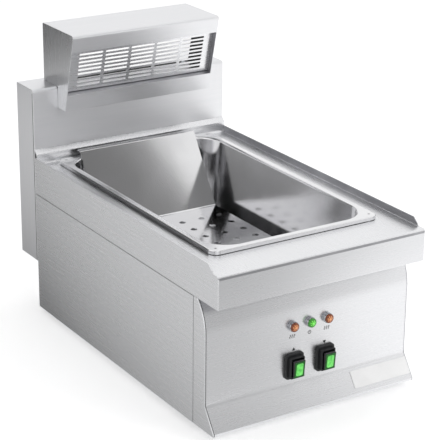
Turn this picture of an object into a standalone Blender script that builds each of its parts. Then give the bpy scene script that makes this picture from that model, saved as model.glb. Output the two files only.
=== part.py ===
"""Table-top chip warmer: heated casing, lift-out pan and insert, and an overhead radiant hood.

Metres, +Z up. X runs across the front, Y from the front to the rear. The origin is below the
middle of the casing, on the surface that the feet stand on.
"""
import math

import bmesh
import bpy
from mathutils import Matrix, Vector

# Sheet metal, fits and cutters
SHEET = 0.0015
GAP = 0.0003
OVERRUN = 0.005

# Casing
SIDE_MARGIN = 0.0375
REAR_MARGIN = 0.0145
UPSTAND_DEPTH = 0.065
WORKTOP_HEIGHT = 0.278
APRON_HEIGHT = 0.056
PANEL_FRONT = 0.072
PANEL_FLANGE = 0.0125
BASE_FLANGE = 0.012
BACK_PANEL_RISE = 0.045

# Feet
FOOT_HEIGHT = 0.010
FOOT_DIAMETER = 0.032
FOOT_TAPER = 0.002
FOOT_SIDE_INSET = 0.045
FOOT_FRONT_INSET = 0.105
FOOT_REAR_INSET = 0.035
FOOT_STUD = 0.006
FOOT_STUD_REACH = 0.012
FOOT_STUD_HOLE = 0.0068

# Worktop
EDGE_RADIUS = 0.004
APRON_RETURN = 0.0717
LIP_RISE = 0.0125
LIP_THICKNESS = 0.002
LIP_NOSE_FRONT = 0.0065
LIP_NOSE_RUN = 0.002
LIP_NOSE_RISE = 0.0035
LIP_RAMP_END = 0.030
COVE_RADIUS = 0.006
UPTURN_STANDOFF = 0.008
UPTURN_CREASE_RISE = 0.0195
UPTURN_CREST_RISE = 0.0275

# Front fascia, as a section from the bottom up
FASCIA_TOE = 0.011
FASCIA_TOE_RISE = 0.005
FASCIA_SETBACK = 0.0375
FASCIA_KICK_RISE = 0.043
FASCIA_BEND_RISE = 0.177
FASCIA_BEND_RADIUS = 0.025
FASCIA_LEAN = math.radians(31.0)

# Indicator lamps
LAMP_RISE = 0.145
LAMP_PITCH = 0.034
LAMP_HOLE = 0.013
LAMP_BODY = 0.012
LAMP_BODY_REACH = 0.020
LAMP_CLIP = 0.0145
LAMP_CLIP_LENGTH = 0.005
LAMP_BEZEL = 0.0178
LAMP_BEZEL_LENGTH = 0.0055
LAMP_BEZEL_CHAMFER = 0.0009
LAMP_LENS = 0.0158
LAMP_LENS_RIM = 0.002
LAMP_LENS_DOME = 0.0022
LAMP_BORE = 0.0090
LAMP_STEM_LENGTH = 0.006

# Rocker switches
SWITCH_RISE = 0.075
SWITCH_OFFSET = 0.0305
SWITCH_WIDTH = 0.035
SWITCH_HEIGHT = 0.0445
SWITCH_CORNER = 0.007
SWITCH_PLATE = 0.005
COLLAR_WIDTH = 0.026
COLLAR_HEIGHT = 0.037
COLLAR_CORNER = 0.0025
COLLAR_LENGTH = 0.0085
COLLAR_WALL = 0.0016
SWITCH_BODY_WIDTH = 0.0215
SWITCH_BODY_HEIGHT = 0.030
SWITCH_BODY_REACH = 0.026
SWITCH_CUTOUT_CLEARANCE = 0.0006
SWITCH_FLOOR_DEPTH = 0.0175
ROCKER_WIDTH = 0.0215
ROCKER_HEIGHT = 0.0310
ROCKER_FACE_REACH = 0.0185
ROCKER_PIVOT_REACH = 0.0065
ROCKER_TILT = math.radians(6.0)
ROCKER_EDGE = 0.0012
TRUNNION = 0.003
TRUNNION_LENGTH = 0.0009
TRUNNION_CLEARANCE = 0.0003
WINDOW_WIDTH = 0.0165
WINDOW_HEIGHT = 0.0255
WINDOW_CORNER = 0.0025
WINDOW_DEPTH = 0.0012
WINDOW_PROUD = 0.0003

# Blank label plate on the kick-out
LABEL_WIDTH = 0.116
LABEL_HEIGHT = 0.0294
LABEL_THICKNESS = 0.0008
LABEL_SIDE_MARGIN = 0.003
LABEL_TOP_MARGIN = 0.008

# Gastronorm container
PAN_LENGTH = 0.530
PAN_WIDTH = 0.325
PAN_DEPTH = 0.150
PAN_FRONT = 0.0755
PAN_FLANGE = 0.0125
PAN_CORNER = 0.015
PAN_INNER_CORNER = 0.048
PAN_RIM_RISE = 0.0075
PAN_EDGE_RADIUS = 0.002
PAN_THROAT = 0.004
PAN_WALL = 0.001
PAN_TAPER = 0.008
PAN_FLOOR_RADIUS = 0.015
PAN_HOLE = 0.004
PAN_HOLE_INSET = 0.0125
OPENING_CLEARANCE = 0.003

# Lift-out insert with a sloped back
INSERT_SHEET = 0.0012
INSERT_WIDTH = 0.242
INSERT_STAND = 0.035
INSERT_FRONT_CLEARANCE = 0.010
INSERT_LEAN = math.radians(32.0)
INSERT_FOLD_RISE = 0.019
INSERT_FOLD_INSET = 0.0227
INSERT_TOP_FLANGE = 0.011
INSERT_FLANGE_DROP = 0.001
INSERT_REAR_LEG_INSET = 0.020
INSERT_HOLE = 0.012
INSERT_HOLE_PITCH = 0.040
INSERT_HOLE_MARGIN = 0.020

# Heated well below the pan
WELL_SHEET = 0.001
WELL_CLEARANCE = 0.009
WELL_FLANGE = 0.007
WELL_DROP = 0.048
INSULATION_THICKNESS = 0.025
INSULATION_INSET = 0.012
TRAY_ARM = 0.020
TRAY_SHARE = 0.60

# Lower tubular element
ELEMENT_DIAMETER = 0.008
ELEMENT_PITCH = 0.070
ELEMENT_RUNS = 4
ELEMENT_DROP = 0.024
ELEMENT_END_INSET = 0.045
ELEMENT_TAIL = 0.008
SUPPORT_WIDTH = 0.015
SUPPORT_OVERHANG = 0.012
SUPPORT_SHARES = (0.25, 0.75)
GLAND_NUT = 0.016
GLAND_NUT_LENGTH = 0.004

# Thermostat and cut-out on the well's left wall
DISC_DIAMETER = 0.024
DISC_DEPTH = 0.012
DISC_FLANGE = 0.030
DISC_SHARES = (0.45, 0.58)
DISC_RISE = 0.050

# Mains entry
ENTRY_SIDE_INSET = 0.080
ENTRY_RISE = 0.045
GLAND_HOLE = 0.0206
GLAND_THREAD = 0.020
GLAND_BODY = 0.026
GLAND_BODY_LENGTH = 0.012
GLAND_CAP = 0.022
GLAND_CAP_LENGTH = 0.014
GLAND_BORE = 0.011
GLAND_REACH = 0.012
GLAND_LOCKNUT_LENGTH = 0.005
STUD_DIAMETER = 0.006
STUD_HOLE = 0.007
STUD_LENGTH = 0.030
STUD_NUT = 0.011
STUD_NUT_LENGTH = 0.005
TERMINAL_LENGTH = 0.062
TERMINAL_DEPTH = 0.032
TERMINAL_HEIGHT = 0.026
TERMINAL_STEP = 0.008
TERMINAL_WAYS = 5
TERMINAL_SLOT = 0.005
TERMINAL_REAR_INSET = 0.075

# Upstand box
UPSTAND_ABOVE_TOP = 0.138
UPSTAND_BOTTOM = 0.090
UPSTAND_RADIUS = 0.006
UPSTAND_RETURN = 0.0125
COVER_RECESS = 0.0018
LEAD_HOLE = 0.014
LEAD_RISE = 0.185
LEAD_SIDE_INSET = 0.100
GROMMET_FLANGE = 0.020
GROMMET_FLANGE_THICKNESS = 0.0018
GROMMET_BORE = 0.0072

# Hood
HOOD_SIDE_INSET = 0.0495
HOOD_ABOVE_UPSTAND = 0.106
HOOD_SKIRT_DROP = 0.0394
HOOD_OVERHANG = 0.0647
HOOD_REAR_INSET = 0.0115
HOOD_LEAN = math.radians(13.9)
HOOD_RADIUS = 0.005
HOOD_BAND = 0.033
HOOD_LOWER_BAND = 0.0318
HOOD_LEDGE = 0.013
HOOD_SKIRT_CLEARANCE = 0.0006

# Grille
GRILLE_SHEET = 0.0012
GRILLE_RECESS = 0.0105
GRILLE_FLANGE = 0.009
SLOT_ROW_MARGIN = 0.010
SLOT_COLUMN_MARGIN = 0.018
SLOT_ROW_PITCH = 0.00763
SLOT_COLUMN_PITCH = 0.0528
SLOT_LENGTH = 0.0440
SLOT_HEIGHT = 0.0039

# Radiant plate and its tray
PLATE_SIDE_CLEARANCE = 0.005
PLATE_TOP_CLEARANCE = 0.0152
PLATE_THICKNESS = 0.007
PLATE_LIFT = 0.0045
PLATE_REAR_REACH = 0.0177
TRAY_SHEET = 0.001
TRAY_LIP = 0.004
BRACKET_SHARE = 0.50
EMITTER_BLOCK_WIDTH = 0.040
EMITTER_BLOCK_HEIGHT = 0.018
EMITTER_BLOCK_DEPTH = 0.012
EMITTER_BLOCK_RISE = 0.040

# Leads
HOOD_LEAD = 0.006
LOOM = 0.008
LEAD_FLOOR_CLEARANCE = 0.0005
LEAD_WALL_CLEARANCE = 0.0016
LEAD_HOLE_CLEARANCE = 0.0006

# Screws and bolts
SCREW_SHANK = 0.0035
SCREW_HOLE = 0.0043
SCREW_HEAD = 0.0075
SCREW_HEAD_HEIGHT = 0.0014
SCREW_REACH = 0.004
BOLT_SHANK = 0.005
BOLT_HOLE = 0.0062
BOLT_HEAD = 0.009
BOLT_HEAD_HEIGHT = 0.003
BOLT_NUT_LENGTH = 0.0035

# Places that follow from the sizes above
WIDTH = PAN_WIDTH + 2 * SIDE_MARGIN
BODY_DEPTH = PAN_FRONT + PAN_LENGTH + REAR_MARGIN
TOTAL_DEPTH = BODY_DEPTH + UPSTAND_DEPTH
HALF_WIDTH = WIDTH / 2
ENTRY_X = HALF_WIDTH - ENTRY_SIDE_INSET
LEAD_X = HALF_WIDTH - LEAD_SIDE_INSET
FRONT_Y = -TOTAL_DEPTH / 2
BACK_Y = FRONT_Y + BODY_DEPTH
REAR_Y = TOTAL_DEPTH / 2
BODY_Z = FOOT_HEIGHT
TOP_Z = BODY_Z + WORKTOP_HEIGHT
SEAM_Z = TOP_Z - APRON_HEIGHT
FASCIA_Y = FRONT_Y + FASCIA_SETBACK
PANEL_Y = FRONT_Y + PANEL_FRONT
PANEL_FLANGE_Y = BACK_Y - SHEET - GAP
PAN_Y = FRONT_Y + PAN_FRONT + PAN_LENGTH / 2
PAN_TOP_Z = TOP_Z + PAN_RIM_RISE
PAN_FLOOR_Z = PAN_TOP_Z - PAN_DEPTH
OPENING_X = PAN_WIDTH / 2 - PAN_FLANGE
OPENING_Y = PAN_LENGTH / 2 - PAN_FLANGE
WELL_X = OPENING_X + WELL_CLEARANCE
WELL_Y = OPENING_Y + WELL_CLEARANCE
WELL_TOP_Z = TOP_Z - SHEET - GAP
WELL_FLOOR_Z = PAN_FLOOR_Z - WELL_DROP
ELEMENT_Z = PAN_FLOOR_Z - ELEMENT_DROP
UPSTAND_Y = BACK_Y + GAP
UPSTAND_TOP_Z = TOP_Z + UPSTAND_ABOVE_TOP
UPSTAND_BOTTOM_Z = BODY_Z + UPSTAND_BOTTOM
COVER_Y = REAR_Y - COVER_RECESS - SHEET
HOOD_X = HALF_WIDTH - HOOD_SIDE_INSET
HOOD_TOP_Z = UPSTAND_TOP_Z + HOOD_ABOVE_UPSTAND
HOOD_BOTTOM_Z = UPSTAND_TOP_Z + GAP
HOOD_SKIRT_Z = UPSTAND_TOP_Z - HOOD_SKIRT_DROP
HOOD_Y = UPSTAND_Y - HOOD_OVERHANG
HOOD_REAR_Y = REAR_Y - HOOD_REAR_INSET
HOOD_SLOPE = (HOOD_TOP_Z - HOOD_SKIRT_Z) / math.cos(HOOD_LEAN)
HOOD_OPENING = HOOD_SLOPE - HOOD_BAND - HOOD_LOWER_BAND
PLATE_WIDTH = 2 * (HOOD_X - SHEET - PLATE_SIDE_CLEARANCE)
PLATE_Z = HOOD_BOTTOM_Z + SHEET + PLATE_LIFT
PLATE_HEIGHT = (HOOD_TOP_Z - SHEET - PLATE_Z) / math.cos(HOOD_LEAN) - PLATE_TOP_CLEARANCE
HOOD_FRAME = Matrix.Translation((0, HOOD_Y, HOOD_TOP_Z)) @ Matrix.Rotation(HOOD_LEAN, 4, 'X')

# Finishes: sRGB colour, roughness, metallic
FINISHES = {
    "brushed_steel": ((0.80, 0.80, 0.81), 0.30, 1.0),
    "bright_steel": ((0.86, 0.86, 0.86), 0.16, 1.0),
    "plated_steel": ((0.62, 0.63, 0.64), 0.40, 1.0),
    "chrome": ((0.90, 0.90, 0.91), 0.06, 1.0),
    "amber": ((0.85, 0.33, 0.10), 0.12, 0.0),
    "green": ((0.20, 0.80, 0.20), 0.12, 0.0),
    "black_plastic": ((0.03, 0.03, 0.035), 0.35, 0.0),
    "white_plastic": ((0.85, 0.85, 0.84), 0.40, 0.0),
    "white_ceramic": ((0.95, 0.95, 0.94), 0.45, 0.0),
    "mineral_wool": ((0.66, 0.62, 0.45), 0.95, 0.0),
    "rubber": ((0.04, 0.04, 0.04), 0.80, 0.0),
    "element_steel": ((0.30, 0.29, 0.28), 0.50, 1.0),
    "brass": ((0.78, 0.62, 0.30), 0.25, 1.0),
    "cable": ((0.08, 0.08, 0.08), 0.55, 0.0),
    "label": ((0.94, 0.94, 0.94), 0.30, 0.0),
}


def linear(channel):
    """Turn one sRGB channel into a linear one."""
    if channel <= 0.04045:
        return channel / 12.92
    return ((channel + 0.055) / 1.055) ** 2.4


def give_finish(obj, finish):
    """Give the object a material of its own."""
    colour, roughness, metallic = FINISHES[finish]
    material = bpy.data.materials.new(obj.name + "_" + finish)
    material.use_nodes = True
    shader = material.node_tree.nodes["Principled BSDF"]
    shader.inputs["Base Color"].default_value = tuple(linear(c) for c in colour) + (1.0,)
    shader.inputs["Roughness"].default_value = roughness
    shader.inputs["Metallic"].default_value = metallic
    obj.data.materials.append(material)


def finish_mesh(name, bm, finish, place=None):
    """Turn a bmesh into a linked object, with its faces outwards."""
    bmesh.ops.remove_doubles(bm, verts=bm.verts, dist=GAP / 100)
    bmesh.ops.recalc_face_normals(bm, faces=bm.faces)
    if bm.calc_volume(signed=True) < 0:
        bmesh.ops.reverse_faces(bm, faces=bm.faces)
    mesh = bpy.data.meshes.new(name)
    bm.to_mesh(mesh)
    bm.free()
    obj = bpy.data.objects.new(name, mesh)
    bpy.context.scene.collection.objects.link(obj)
    if place is not None:
        obj.matrix_world = place
    if finish is None:
        obj.hide_render = True
        obj.display_type = 'WIRE'
    else:
        give_finish(obj, finish)
    return obj


def add_box(bm, low, high):
    """Add a box between two corners to a bmesh."""
    size = [b - a for a, b in zip(low, high)]
    middle = [(a + b) / 2 for a, b in zip(low, high)]
    matrix = Matrix.Translation(middle) @ Matrix.Diagonal(size + [1.0])
    bmesh.ops.create_cube(bm, size=1.0, matrix=matrix)


def box(name, low, high, finish, place=None):
    """A plain box."""
    bm = bmesh.new()
    add_box(bm, low, high)
    return finish_mesh(name, bm, finish, place)


def boxes(name, corners, finish, place=None):
    """Several separate boxes in one object."""
    bm = bmesh.new()
    for low, high in corners:
        add_box(bm, low, high)
    return finish_mesh(name, bm, finish, place)


def add_prism(bm, outline, axis, start, end):
    """Add an outline, extruded along X, Y or Z, to a bmesh."""
    order = {'X': lambda a, b, c: (c, a, b), 'Y': lambda a, b, c: (a, c, b), 'Z': lambda a, b, c: (a, b, c)}
    verts = [bm.verts.new(order[axis](a, b, start)) for a, b in outline]
    face = bm.faces.new(verts)
    grown = bmesh.ops.extrude_face_region(bm, geom=[face])
    moved = [item for item in grown["geom"] if isinstance(item, bmesh.types.BMVert)]
    bmesh.ops.translate(bm, verts=moved, vec=order[axis](0, 0, end - start))


def prism(name, outline, axis, start, end, finish, place=None):
    """An extruded outline."""
    bm = bmesh.new()
    add_prism(bm, outline, axis, start, end)
    return finish_mesh(name, bm, finish, place)


def add_turned(bm, profile, centre, axis, steps):
    """Spin a closed (radius, height) profile about X, Y or Z and add it to a bmesh."""
    turn = {'X': Matrix.Rotation(math.pi / 2, 4, 'Y'), 'Y': Matrix.Rotation(-math.pi / 2, 4, 'X'),
            'Z': Matrix.Identity(4)}[axis]
    before = set(bm.verts)
    verts = [bm.verts.new((radius, 0, height)) for radius, height in profile]
    edges = [bm.edges.new((verts[i], verts[(i + 1) % len(verts)])) for i in range(len(verts))]
    bmesh.ops.spin(bm, geom=edges, cent=(0, 0, 0), axis=(0, 0, 1), angle=2 * math.pi, steps=steps,
                   use_merge=True)
    made = [v for v in bm.verts if v not in before]
    bmesh.ops.transform(bm, matrix=Matrix.Translation(centre) @ turn, verts=made)
    made = [v for v in bm.verts if v not in before]
    bmesh.ops.remove_doubles(bm, verts=made, dist=GAP / 100)


def turned(name, profile, centre, axis, steps, finish, place=None):
    """A turned piece."""
    bm = bmesh.new()
    add_turned(bm, profile, centre, axis, steps)
    return finish_mesh(name, bm, finish, place)


def rod_profile(radius, low, high):
    """A solid cylinder's profile."""
    return [(0, low), (radius, low), (radius, high), (0, high)]


def rounded_outline(half_x, half_y, radius, steps, centre=(0, 0)):
    """A rectangle with round corners, anticlockwise."""
    points = []
    for corner, (sx, sy) in enumerate(((1, 1), (-1, 1), (-1, -1), (1, -1))):
        for step in range(steps + 1):
            angle = (corner + step / steps) * math.pi / 2
            points.append((centre[0] + sx * (half_x - radius) + radius * math.cos(angle),
                           centre[1] + sy * (half_y - radius) + radius * math.sin(angle)))
    return points


def arc(centre, radius, start, end, steps):
    """Points along an arc, angles in radians."""
    points = []
    for step in range(steps + 1):
        angle = start + (end - start) * step / steps
        points.append((centre[0] + radius * math.cos(angle), centre[1] + radius * math.sin(angle)))
    return points


def offset_line(points, distance):
    """The polyline moved to its left by a distance, with mitred corners."""
    moved = []
    for index, point in enumerate(points):
        here = Vector(point)
        before = here - Vector(points[index - 1]) if index > 0 else None
        after = Vector(points[index + 1]) - here if index < len(points) - 1 else None
        directions = [d.normalized() for d in (before, after) if d is not None]
        normals = [Vector((-d.y, d.x)) for d in directions]
        normal = sum(normals, Vector((0, 0))).normalized()
        moved.append(tuple(here + normal * distance / normal.dot(normals[0])))
    return moved


def sheet_outline(points, thickness):
    """The closed outline of a folded sheet whose right side follows the points."""
    return list(points) + list(reversed(offset_line(points, thickness)))


def loft(name, loops, finish):
    """A body through a row of equal point loops, capped at both ends."""
    bm = bmesh.new()
    rings = [[bm.verts.new(point) for point in loop] for loop in loops]
    count = len(rings[0])
    for lower, upper in zip(rings, rings[1:]):
        for index in range(count):
            following = (index + 1) % count
            bm.faces.new((lower[index], lower[following], upper[following], upper[index]))
    bm.faces.new(rings[0])
    bm.faces.new(rings[-1])
    return finish_mesh(name, bm, finish)


def cut(obj, cutter):
    """Cut one object with another."""
    modifier = obj.modifiers.new("cut_" + cutter.name, 'BOOLEAN')
    modifier.operation = 'DIFFERENCE'
    modifier.object = cutter


def fuse(obj, other):
    """Weld a hidden helper shape to an object."""
    modifier = obj.modifiers.new("fuse_" + other.name, 'BOOLEAN')
    modifier.operation = 'UNION'
    modifier.object = other


def set_origin(obj, point):
    """Move the object's origin to a point and leave its shape where it is."""
    offset = Vector(point) - obj.location
    obj.data.transform(Matrix.Translation(-offset))
    obj.location = point


def round_holes(name, places, diameter, axis, reach, steps=8):
    """A cutter made of equal rods, each centred on its place."""
    bm = bmesh.new()
    for place in places:
        add_turned(bm, rod_profile(diameter / 2, -reach, reach), place, axis, steps)
    return finish_mesh(name, bm, None)


def smooth_path(points, spacing):
    """Points a set distance apart along a Catmull-Rom curve through the given ones."""
    knots = [Vector(p) for p in points]
    padded = [2 * knots[0] - knots[1]] + knots + [2 * knots[-1] - knots[-2]]
    dense = []
    for a, b, c, d in zip(padded, padded[1:], padded[2:], padded[3:]):
        for step in range(16):
            t = step / 16
            dense.append(0.5 * (2 * b + (c - a) * t + (2 * a - 5 * b + 4 * c - d) * t * t
                                + (3 * b - 3 * c + d - a) * t * t * t))
    dense.append(knots[-1])
    path = [dense[0]]
    travelled = 0
    for before, after in zip(dense, dense[1:]):
        travelled += (after - before).length
        if travelled >= spacing:
            path.append(after)
            travelled = 0
    if (path[-1] - dense[-1]).length < spacing / 2:
        path.pop()
    path.append(dense[-1])
    return path


def tube(name, path, diameter, finish, resolution=2):
    """A round tube along a path, with closed ends."""
    curve = bpy.data.curves.new(name, 'CURVE')
    curve.dimensions = '3D'
    curve.bevel_depth = diameter / 2
    curve.bevel_resolution = resolution
    curve.use_fill_caps = True
    spline = curve.splines.new('POLY')
    spline.points.add(len(path) - 1)
    for point, place in zip(spline.points, path):
        point.co = (*place, 1)
    obj = bpy.data.objects.new(name, curve)
    bpy.context.scene.collection.objects.link(obj)
    give_finish(obj, finish)
    return obj


def make_worktop():
    """Top sheet with a front apron, side lips, a coved rear upturn and the pan's opening."""
    upturn_y = BACK_Y - UPTURN_STANDOFF
    crease_z = TOP_Z + UPTURN_CREASE_RISE
    crest_z = TOP_Z + UPTURN_CREST_RISE
    front = arc((FRONT_Y + EDGE_RADIUS, TOP_Z - EDGE_RADIUS), EDGE_RADIUS, math.pi, math.pi / 2, 4)
    cove = arc((upturn_y - COVE_RADIUS, TOP_Z + COVE_RADIUS), COVE_RADIUS, -math.pi / 2, 0, 5)
    skin = [(FRONT_Y, SEAM_Z)] + front + cove + [(upturn_y, crease_z), (BACK_Y, crest_z)]
    worktop = prism("worktop", skin + [(BACK_Y, SEAM_Z)], 'X', -HALF_WIDTH, HALF_WIDTH, "brushed_steel")
    nose_y = FRONT_Y + LIP_NOSE_FRONT
    lip_z = TOP_Z + LIP_RISE
    lip = [(nose_y, TOP_Z - SHEET), (nose_y, TOP_Z), (nose_y + LIP_NOSE_RUN, TOP_Z + LIP_NOSE_RISE),
           (FRONT_Y + LIP_RAMP_END, lip_z), (BACK_Y, lip_z), (BACK_Y, TOP_Z - SHEET)]
    for side in (-1, 1):
        inner = side * (HALF_WIDTH - LIP_THICKNESS)
        fuse(worktop, prism("lip_%d" % side, lip, 'X', inner, side * HALF_WIDTH, None))
    inner_x = HALF_WIDTH - SHEET
    return_y = FRONT_Y + APRON_RETURN
    inside = offset_line([(FRONT_Y, SEAM_Z), (FRONT_Y, TOP_Z)] + cove + [(upturn_y, crease_z), (BACK_Y, crest_z)],
                         -SHEET)
    cavity = [(FRONT_Y + SHEET, SEAM_Z + SHEET)] + inside[1:]
    cavity += [(BACK_Y + OVERRUN, cavity[-1][1]), (BACK_Y + OVERRUN, SEAM_Z - OVERRUN),
               (return_y, SEAM_Z - OVERRUN), (return_y, SEAM_Z + SHEET)]
    cut(worktop, prism("worktop_inside", cavity, 'X', -inner_x, inner_x, None))
    notch = [(upturn_y + SHEET, lip_z), (BACK_Y + OVERRUN, lip_z), (BACK_Y + OVERRUN, cavity[-5][1]),
             inside[-1], inside[-2]]
    cut(worktop, prism("upturn_ends", notch, 'X', -HALF_WIDTH - OVERRUN, HALF_WIDTH + OVERRUN, None))
    clearance = PAN_WALL + OPENING_CLEARANCE
    opening = rounded_outline(OPENING_X + clearance, OPENING_Y + clearance, PAN_INNER_CORNER + clearance,
                              6, (0, PAN_Y))
    cut(worktop, prism("pan_opening", opening, 'Z', TOP_Z - OVERRUN, TOP_Z + OVERRUN, None))


def make_side_panel(name, side):
    """Side panel with inward flanges at its front and rear."""
    outer = side * HALF_WIDTH
    inner = side * (HALF_WIDTH - SHEET)
    flange = inner - side * PANEL_FLANGE
    plan = [(outer, PANEL_Y), (outer, BACK_Y), (inner, BACK_Y), (inner, PANEL_FLANGE_Y),
            (flange, PANEL_FLANGE_Y), (flange, PANEL_FLANGE_Y - SHEET), (inner, PANEL_FLANGE_Y - SHEET),
            (inner, PANEL_Y + SHEET), (flange, PANEL_Y + SHEET), (flange, PANEL_Y)]
    prism(name, plan, 'Z', BODY_Z, SEAM_Z - GAP, "brushed_steel")


def fascia_line():
    """The fascia's outer skin in section, from its toe to its top edge."""
    top_z = SEAM_Z - GAP
    bend_z = BODY_Z + FASCIA_BEND_RISE
    bend = arc((FASCIA_Y + FASCIA_BEND_RADIUS, bend_z), FASCIA_BEND_RADIUS, math.pi, math.pi - FASCIA_LEAN, 5)
    end_y, end_z = bend[-1]
    crown_y = end_y + (top_z - end_z) * math.tan(FASCIA_LEAN)
    toe_y = FRONT_Y + FASCIA_TOE
    return [(toe_y, BODY_Z), (toe_y, BODY_Z + FASCIA_TOE_RISE), (FASCIA_Y, BODY_Z + FASCIA_KICK_RISE),
            *bend, (crown_y, top_z)]


def make_fascia():
    """Front fascia: one folded sheet with cheeks, a kick-out and holes for lamps and switches."""
    rear_y = PANEL_Y - GAP
    top_z = SEAM_Z - GAP
    skin = fascia_line()
    fascia = prism("front_fascia", skin + [(rear_y, top_z), (rear_y, BODY_Z)], 'X', -HALF_WIDTH, HALF_WIDTH,
                   "brushed_steel")
    ends = [(rear_y + OVERRUN, BODY_Z)] + skin + [(rear_y + OVERRUN, top_z)]
    inside = offset_line(ends, -SHEET)
    inner_x = HALF_WIDTH - SHEET
    cut(fascia, prism("fascia_inside", inside, 'X', -inner_x, inner_x, None))
    cut(fascia, round_holes("lamp_holes", lamp_places(), LAMP_HOLE, 'Y', OVERRUN, 12))
    half_x = SWITCH_BODY_WIDTH / 2 + SWITCH_CUTOUT_CLEARANCE
    half_z = SWITCH_BODY_HEIGHT / 2 + SWITCH_CUTOUT_CLEARANCE
    holes = []
    for x, _, z in switch_places():
        holes.append(((x - half_x, FASCIA_Y - OVERRUN, z - half_z), (x + half_x, FASCIA_Y + OVERRUN, z + half_z)))
    cut(fascia, boxes("switch_holes", holes, None))


def lamp_places():
    """Where the lamps' axes meet the fascia."""
    return [(column * LAMP_PITCH, FASCIA_Y, BODY_Z + LAMP_RISE) for column in (-1, 0, 1)]


def switch_places():
    """Where the switches' centres meet the fascia."""
    return [(side * SWITCH_OFFSET, FASCIA_Y, BODY_Z + SWITCH_RISE) for side in (-1, 1)]


def make_lamp(name, place, colour):
    """Indicator lamp: chrome bezel that snaps into its hole, and its lens."""
    body = LAMP_BODY / 2
    bezel = LAMP_BEZEL / 2
    bore = LAMP_BORE / 2
    front = GAP + LAMP_BEZEL_LENGTH
    clip = LAMP_CLIP / 2
    behind = -SHEET - GAP
    profile = [(bore, -LAMP_BODY_REACH), (body, -LAMP_BODY_REACH), (body, behind - LAMP_CLIP_LENGTH),
               (clip, behind), (body, behind), (body, GAP), (bezel, GAP),
               (bezel, front - LAMP_BEZEL_CHAMFER), (bezel - LAMP_BEZEL_CHAMFER, front), (bore, front)]
    flipped = [(radius, -height) for radius, height in profile]
    turned(name + "_bezel", flipped, place, 'Y', 16, "chrome")
    lens = LAMP_LENS / 2
    seat = front + GAP
    crown = seat + LAMP_LENS_RIM
    dome = [(lens * math.cos(angle), crown + LAMP_LENS_DOME * math.sin(angle))
            for angle in (0, math.pi / 6, math.pi / 3)]
    stem = bore - GAP
    profile = [(0, seat - LAMP_STEM_LENGTH), (stem, seat - LAMP_STEM_LENGTH), (stem, seat), (lens, seat),
               *dome, (0, crown + LAMP_LENS_DOME)]
    flipped = [(radius, -height) for radius, height in profile]
    turned(name + "_lens", flipped, place, 'Y', 16, colour)


def make_switch(name, place):
    """Rocker switch: housing with a collar, rocker on its trunnions and green window."""
    x, y, z = place
    plate_y = y - GAP
    plate_front = plate_y - SWITCH_PLATE
    collar_front = plate_front - COLLAR_LENGTH
    plate = rounded_outline(SWITCH_WIDTH / 2, SWITCH_HEIGHT / 2, SWITCH_CORNER, 3, (x, z))
    housing = prism(name + "_housing", plate, 'Y', plate_front, plate_y, "black_plastic")
    collar = rounded_outline(COLLAR_WIDTH / 2, COLLAR_HEIGHT / 2, COLLAR_CORNER, 2, (x, z))
    fuse(housing, prism(name + "_collar", collar, 'Y', collar_front, plate_front + SWITCH_PLATE / 2, None))
    half_x = SWITCH_BODY_WIDTH / 2
    half_z = SWITCH_BODY_HEIGHT / 2
    fuse(housing, box(name + "_body", (x - half_x, plate_y - SWITCH_PLATE / 2, z - half_z),
                      (x + half_x, y + SWITCH_BODY_REACH, z + half_z), None))
    mouth_x = COLLAR_WIDTH / 2 - COLLAR_WALL
    mouth_z = COLLAR_HEIGHT / 2 - COLLAR_WALL
    floor_y = collar_front + SWITCH_FLOOR_DEPTH - SWITCH_PLATE
    cut(housing, box(name + "_mouth", (x - mouth_x, collar_front - OVERRUN, z - mouth_z),
                     (x + mouth_x, floor_y, z + mouth_z), None))
    pivot = (x, y - ROCKER_PIVOT_REACH, z)
    hole = TRUNNION / 2 + TRUNNION_CLEARANCE
    reach = mouth_x + TRUNNION_LENGTH
    cut(housing, turned(name + "_pivot_holes", rod_profile(hole, -reach, reach), pivot, 'X', 10, None))
    tilt = Matrix.Translation(pivot) @ Matrix.Rotation(ROCKER_TILT, 4, 'X')
    face = ROCKER_FACE_REACH - ROCKER_PIVOT_REACH
    half_x = ROCKER_WIDTH / 2
    half_z = ROCKER_HEIGHT / 2
    heel = TRUNNION
    edge = ROCKER_EDGE
    section = [(-face, half_z - edge), (-face + edge, half_z), (0, half_z), (heel, half_z / 2),
               (heel, -half_z / 2), (0, -half_z), (-face + edge, -half_z), (-face, -half_z + edge)]
    rocker = prism(name + "_rocker", section, 'X', -half_x, half_x, "black_plastic", tilt)
    trunnion_reach = mouth_x + TRUNNION_LENGTH - TRUNNION_CLEARANCE
    fuse(rocker, turned(name + "_trunnions", rod_profile(TRUNNION / 2, -trunnion_reach, trunnion_reach),
                        (0, 0, 0), 'X', 10, None, tilt))
    seat = WINDOW_DEPTH + GAP
    pocket = rounded_outline(WINDOW_WIDTH / 2 + GAP, WINDOW_HEIGHT / 2 + GAP, WINDOW_CORNER, 3)
    cut(rocker, prism(name + "_pocket", pocket, 'Y', -face - OVERRUN, -face + seat, None, tilt))
    pane = rounded_outline(WINDOW_WIDTH / 2, WINDOW_HEIGHT / 2, WINDOW_CORNER, 3)
    prism(name + "_window", pane, 'Y', -face - WINDOW_PROUD, -face + WINDOW_DEPTH, "green", tilt)


def make_label():
    """Blank plate on the sloped kick-out, near its right end."""
    toe = Vector((FRONT_Y + FASCIA_TOE, BODY_Z + FASCIA_TOE_RISE))
    knee = Vector((FASCIA_Y, BODY_Z + FASCIA_KICK_RISE))
    slope = math.atan2(knee.x - toe.x, knee.y - toe.y)
    place = Matrix.Translation((0, knee.x, knee.y)) @ Matrix.Rotation(-slope, 4, 'X')
    right = HALF_WIDTH - LABEL_SIDE_MARGIN
    box("label_plate", (right - LABEL_WIDTH, -GAP - LABEL_THICKNESS, -LABEL_TOP_MARGIN - LABEL_HEIGHT),
        (right, -GAP, -LABEL_TOP_MARGIN), "label", place)


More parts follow.
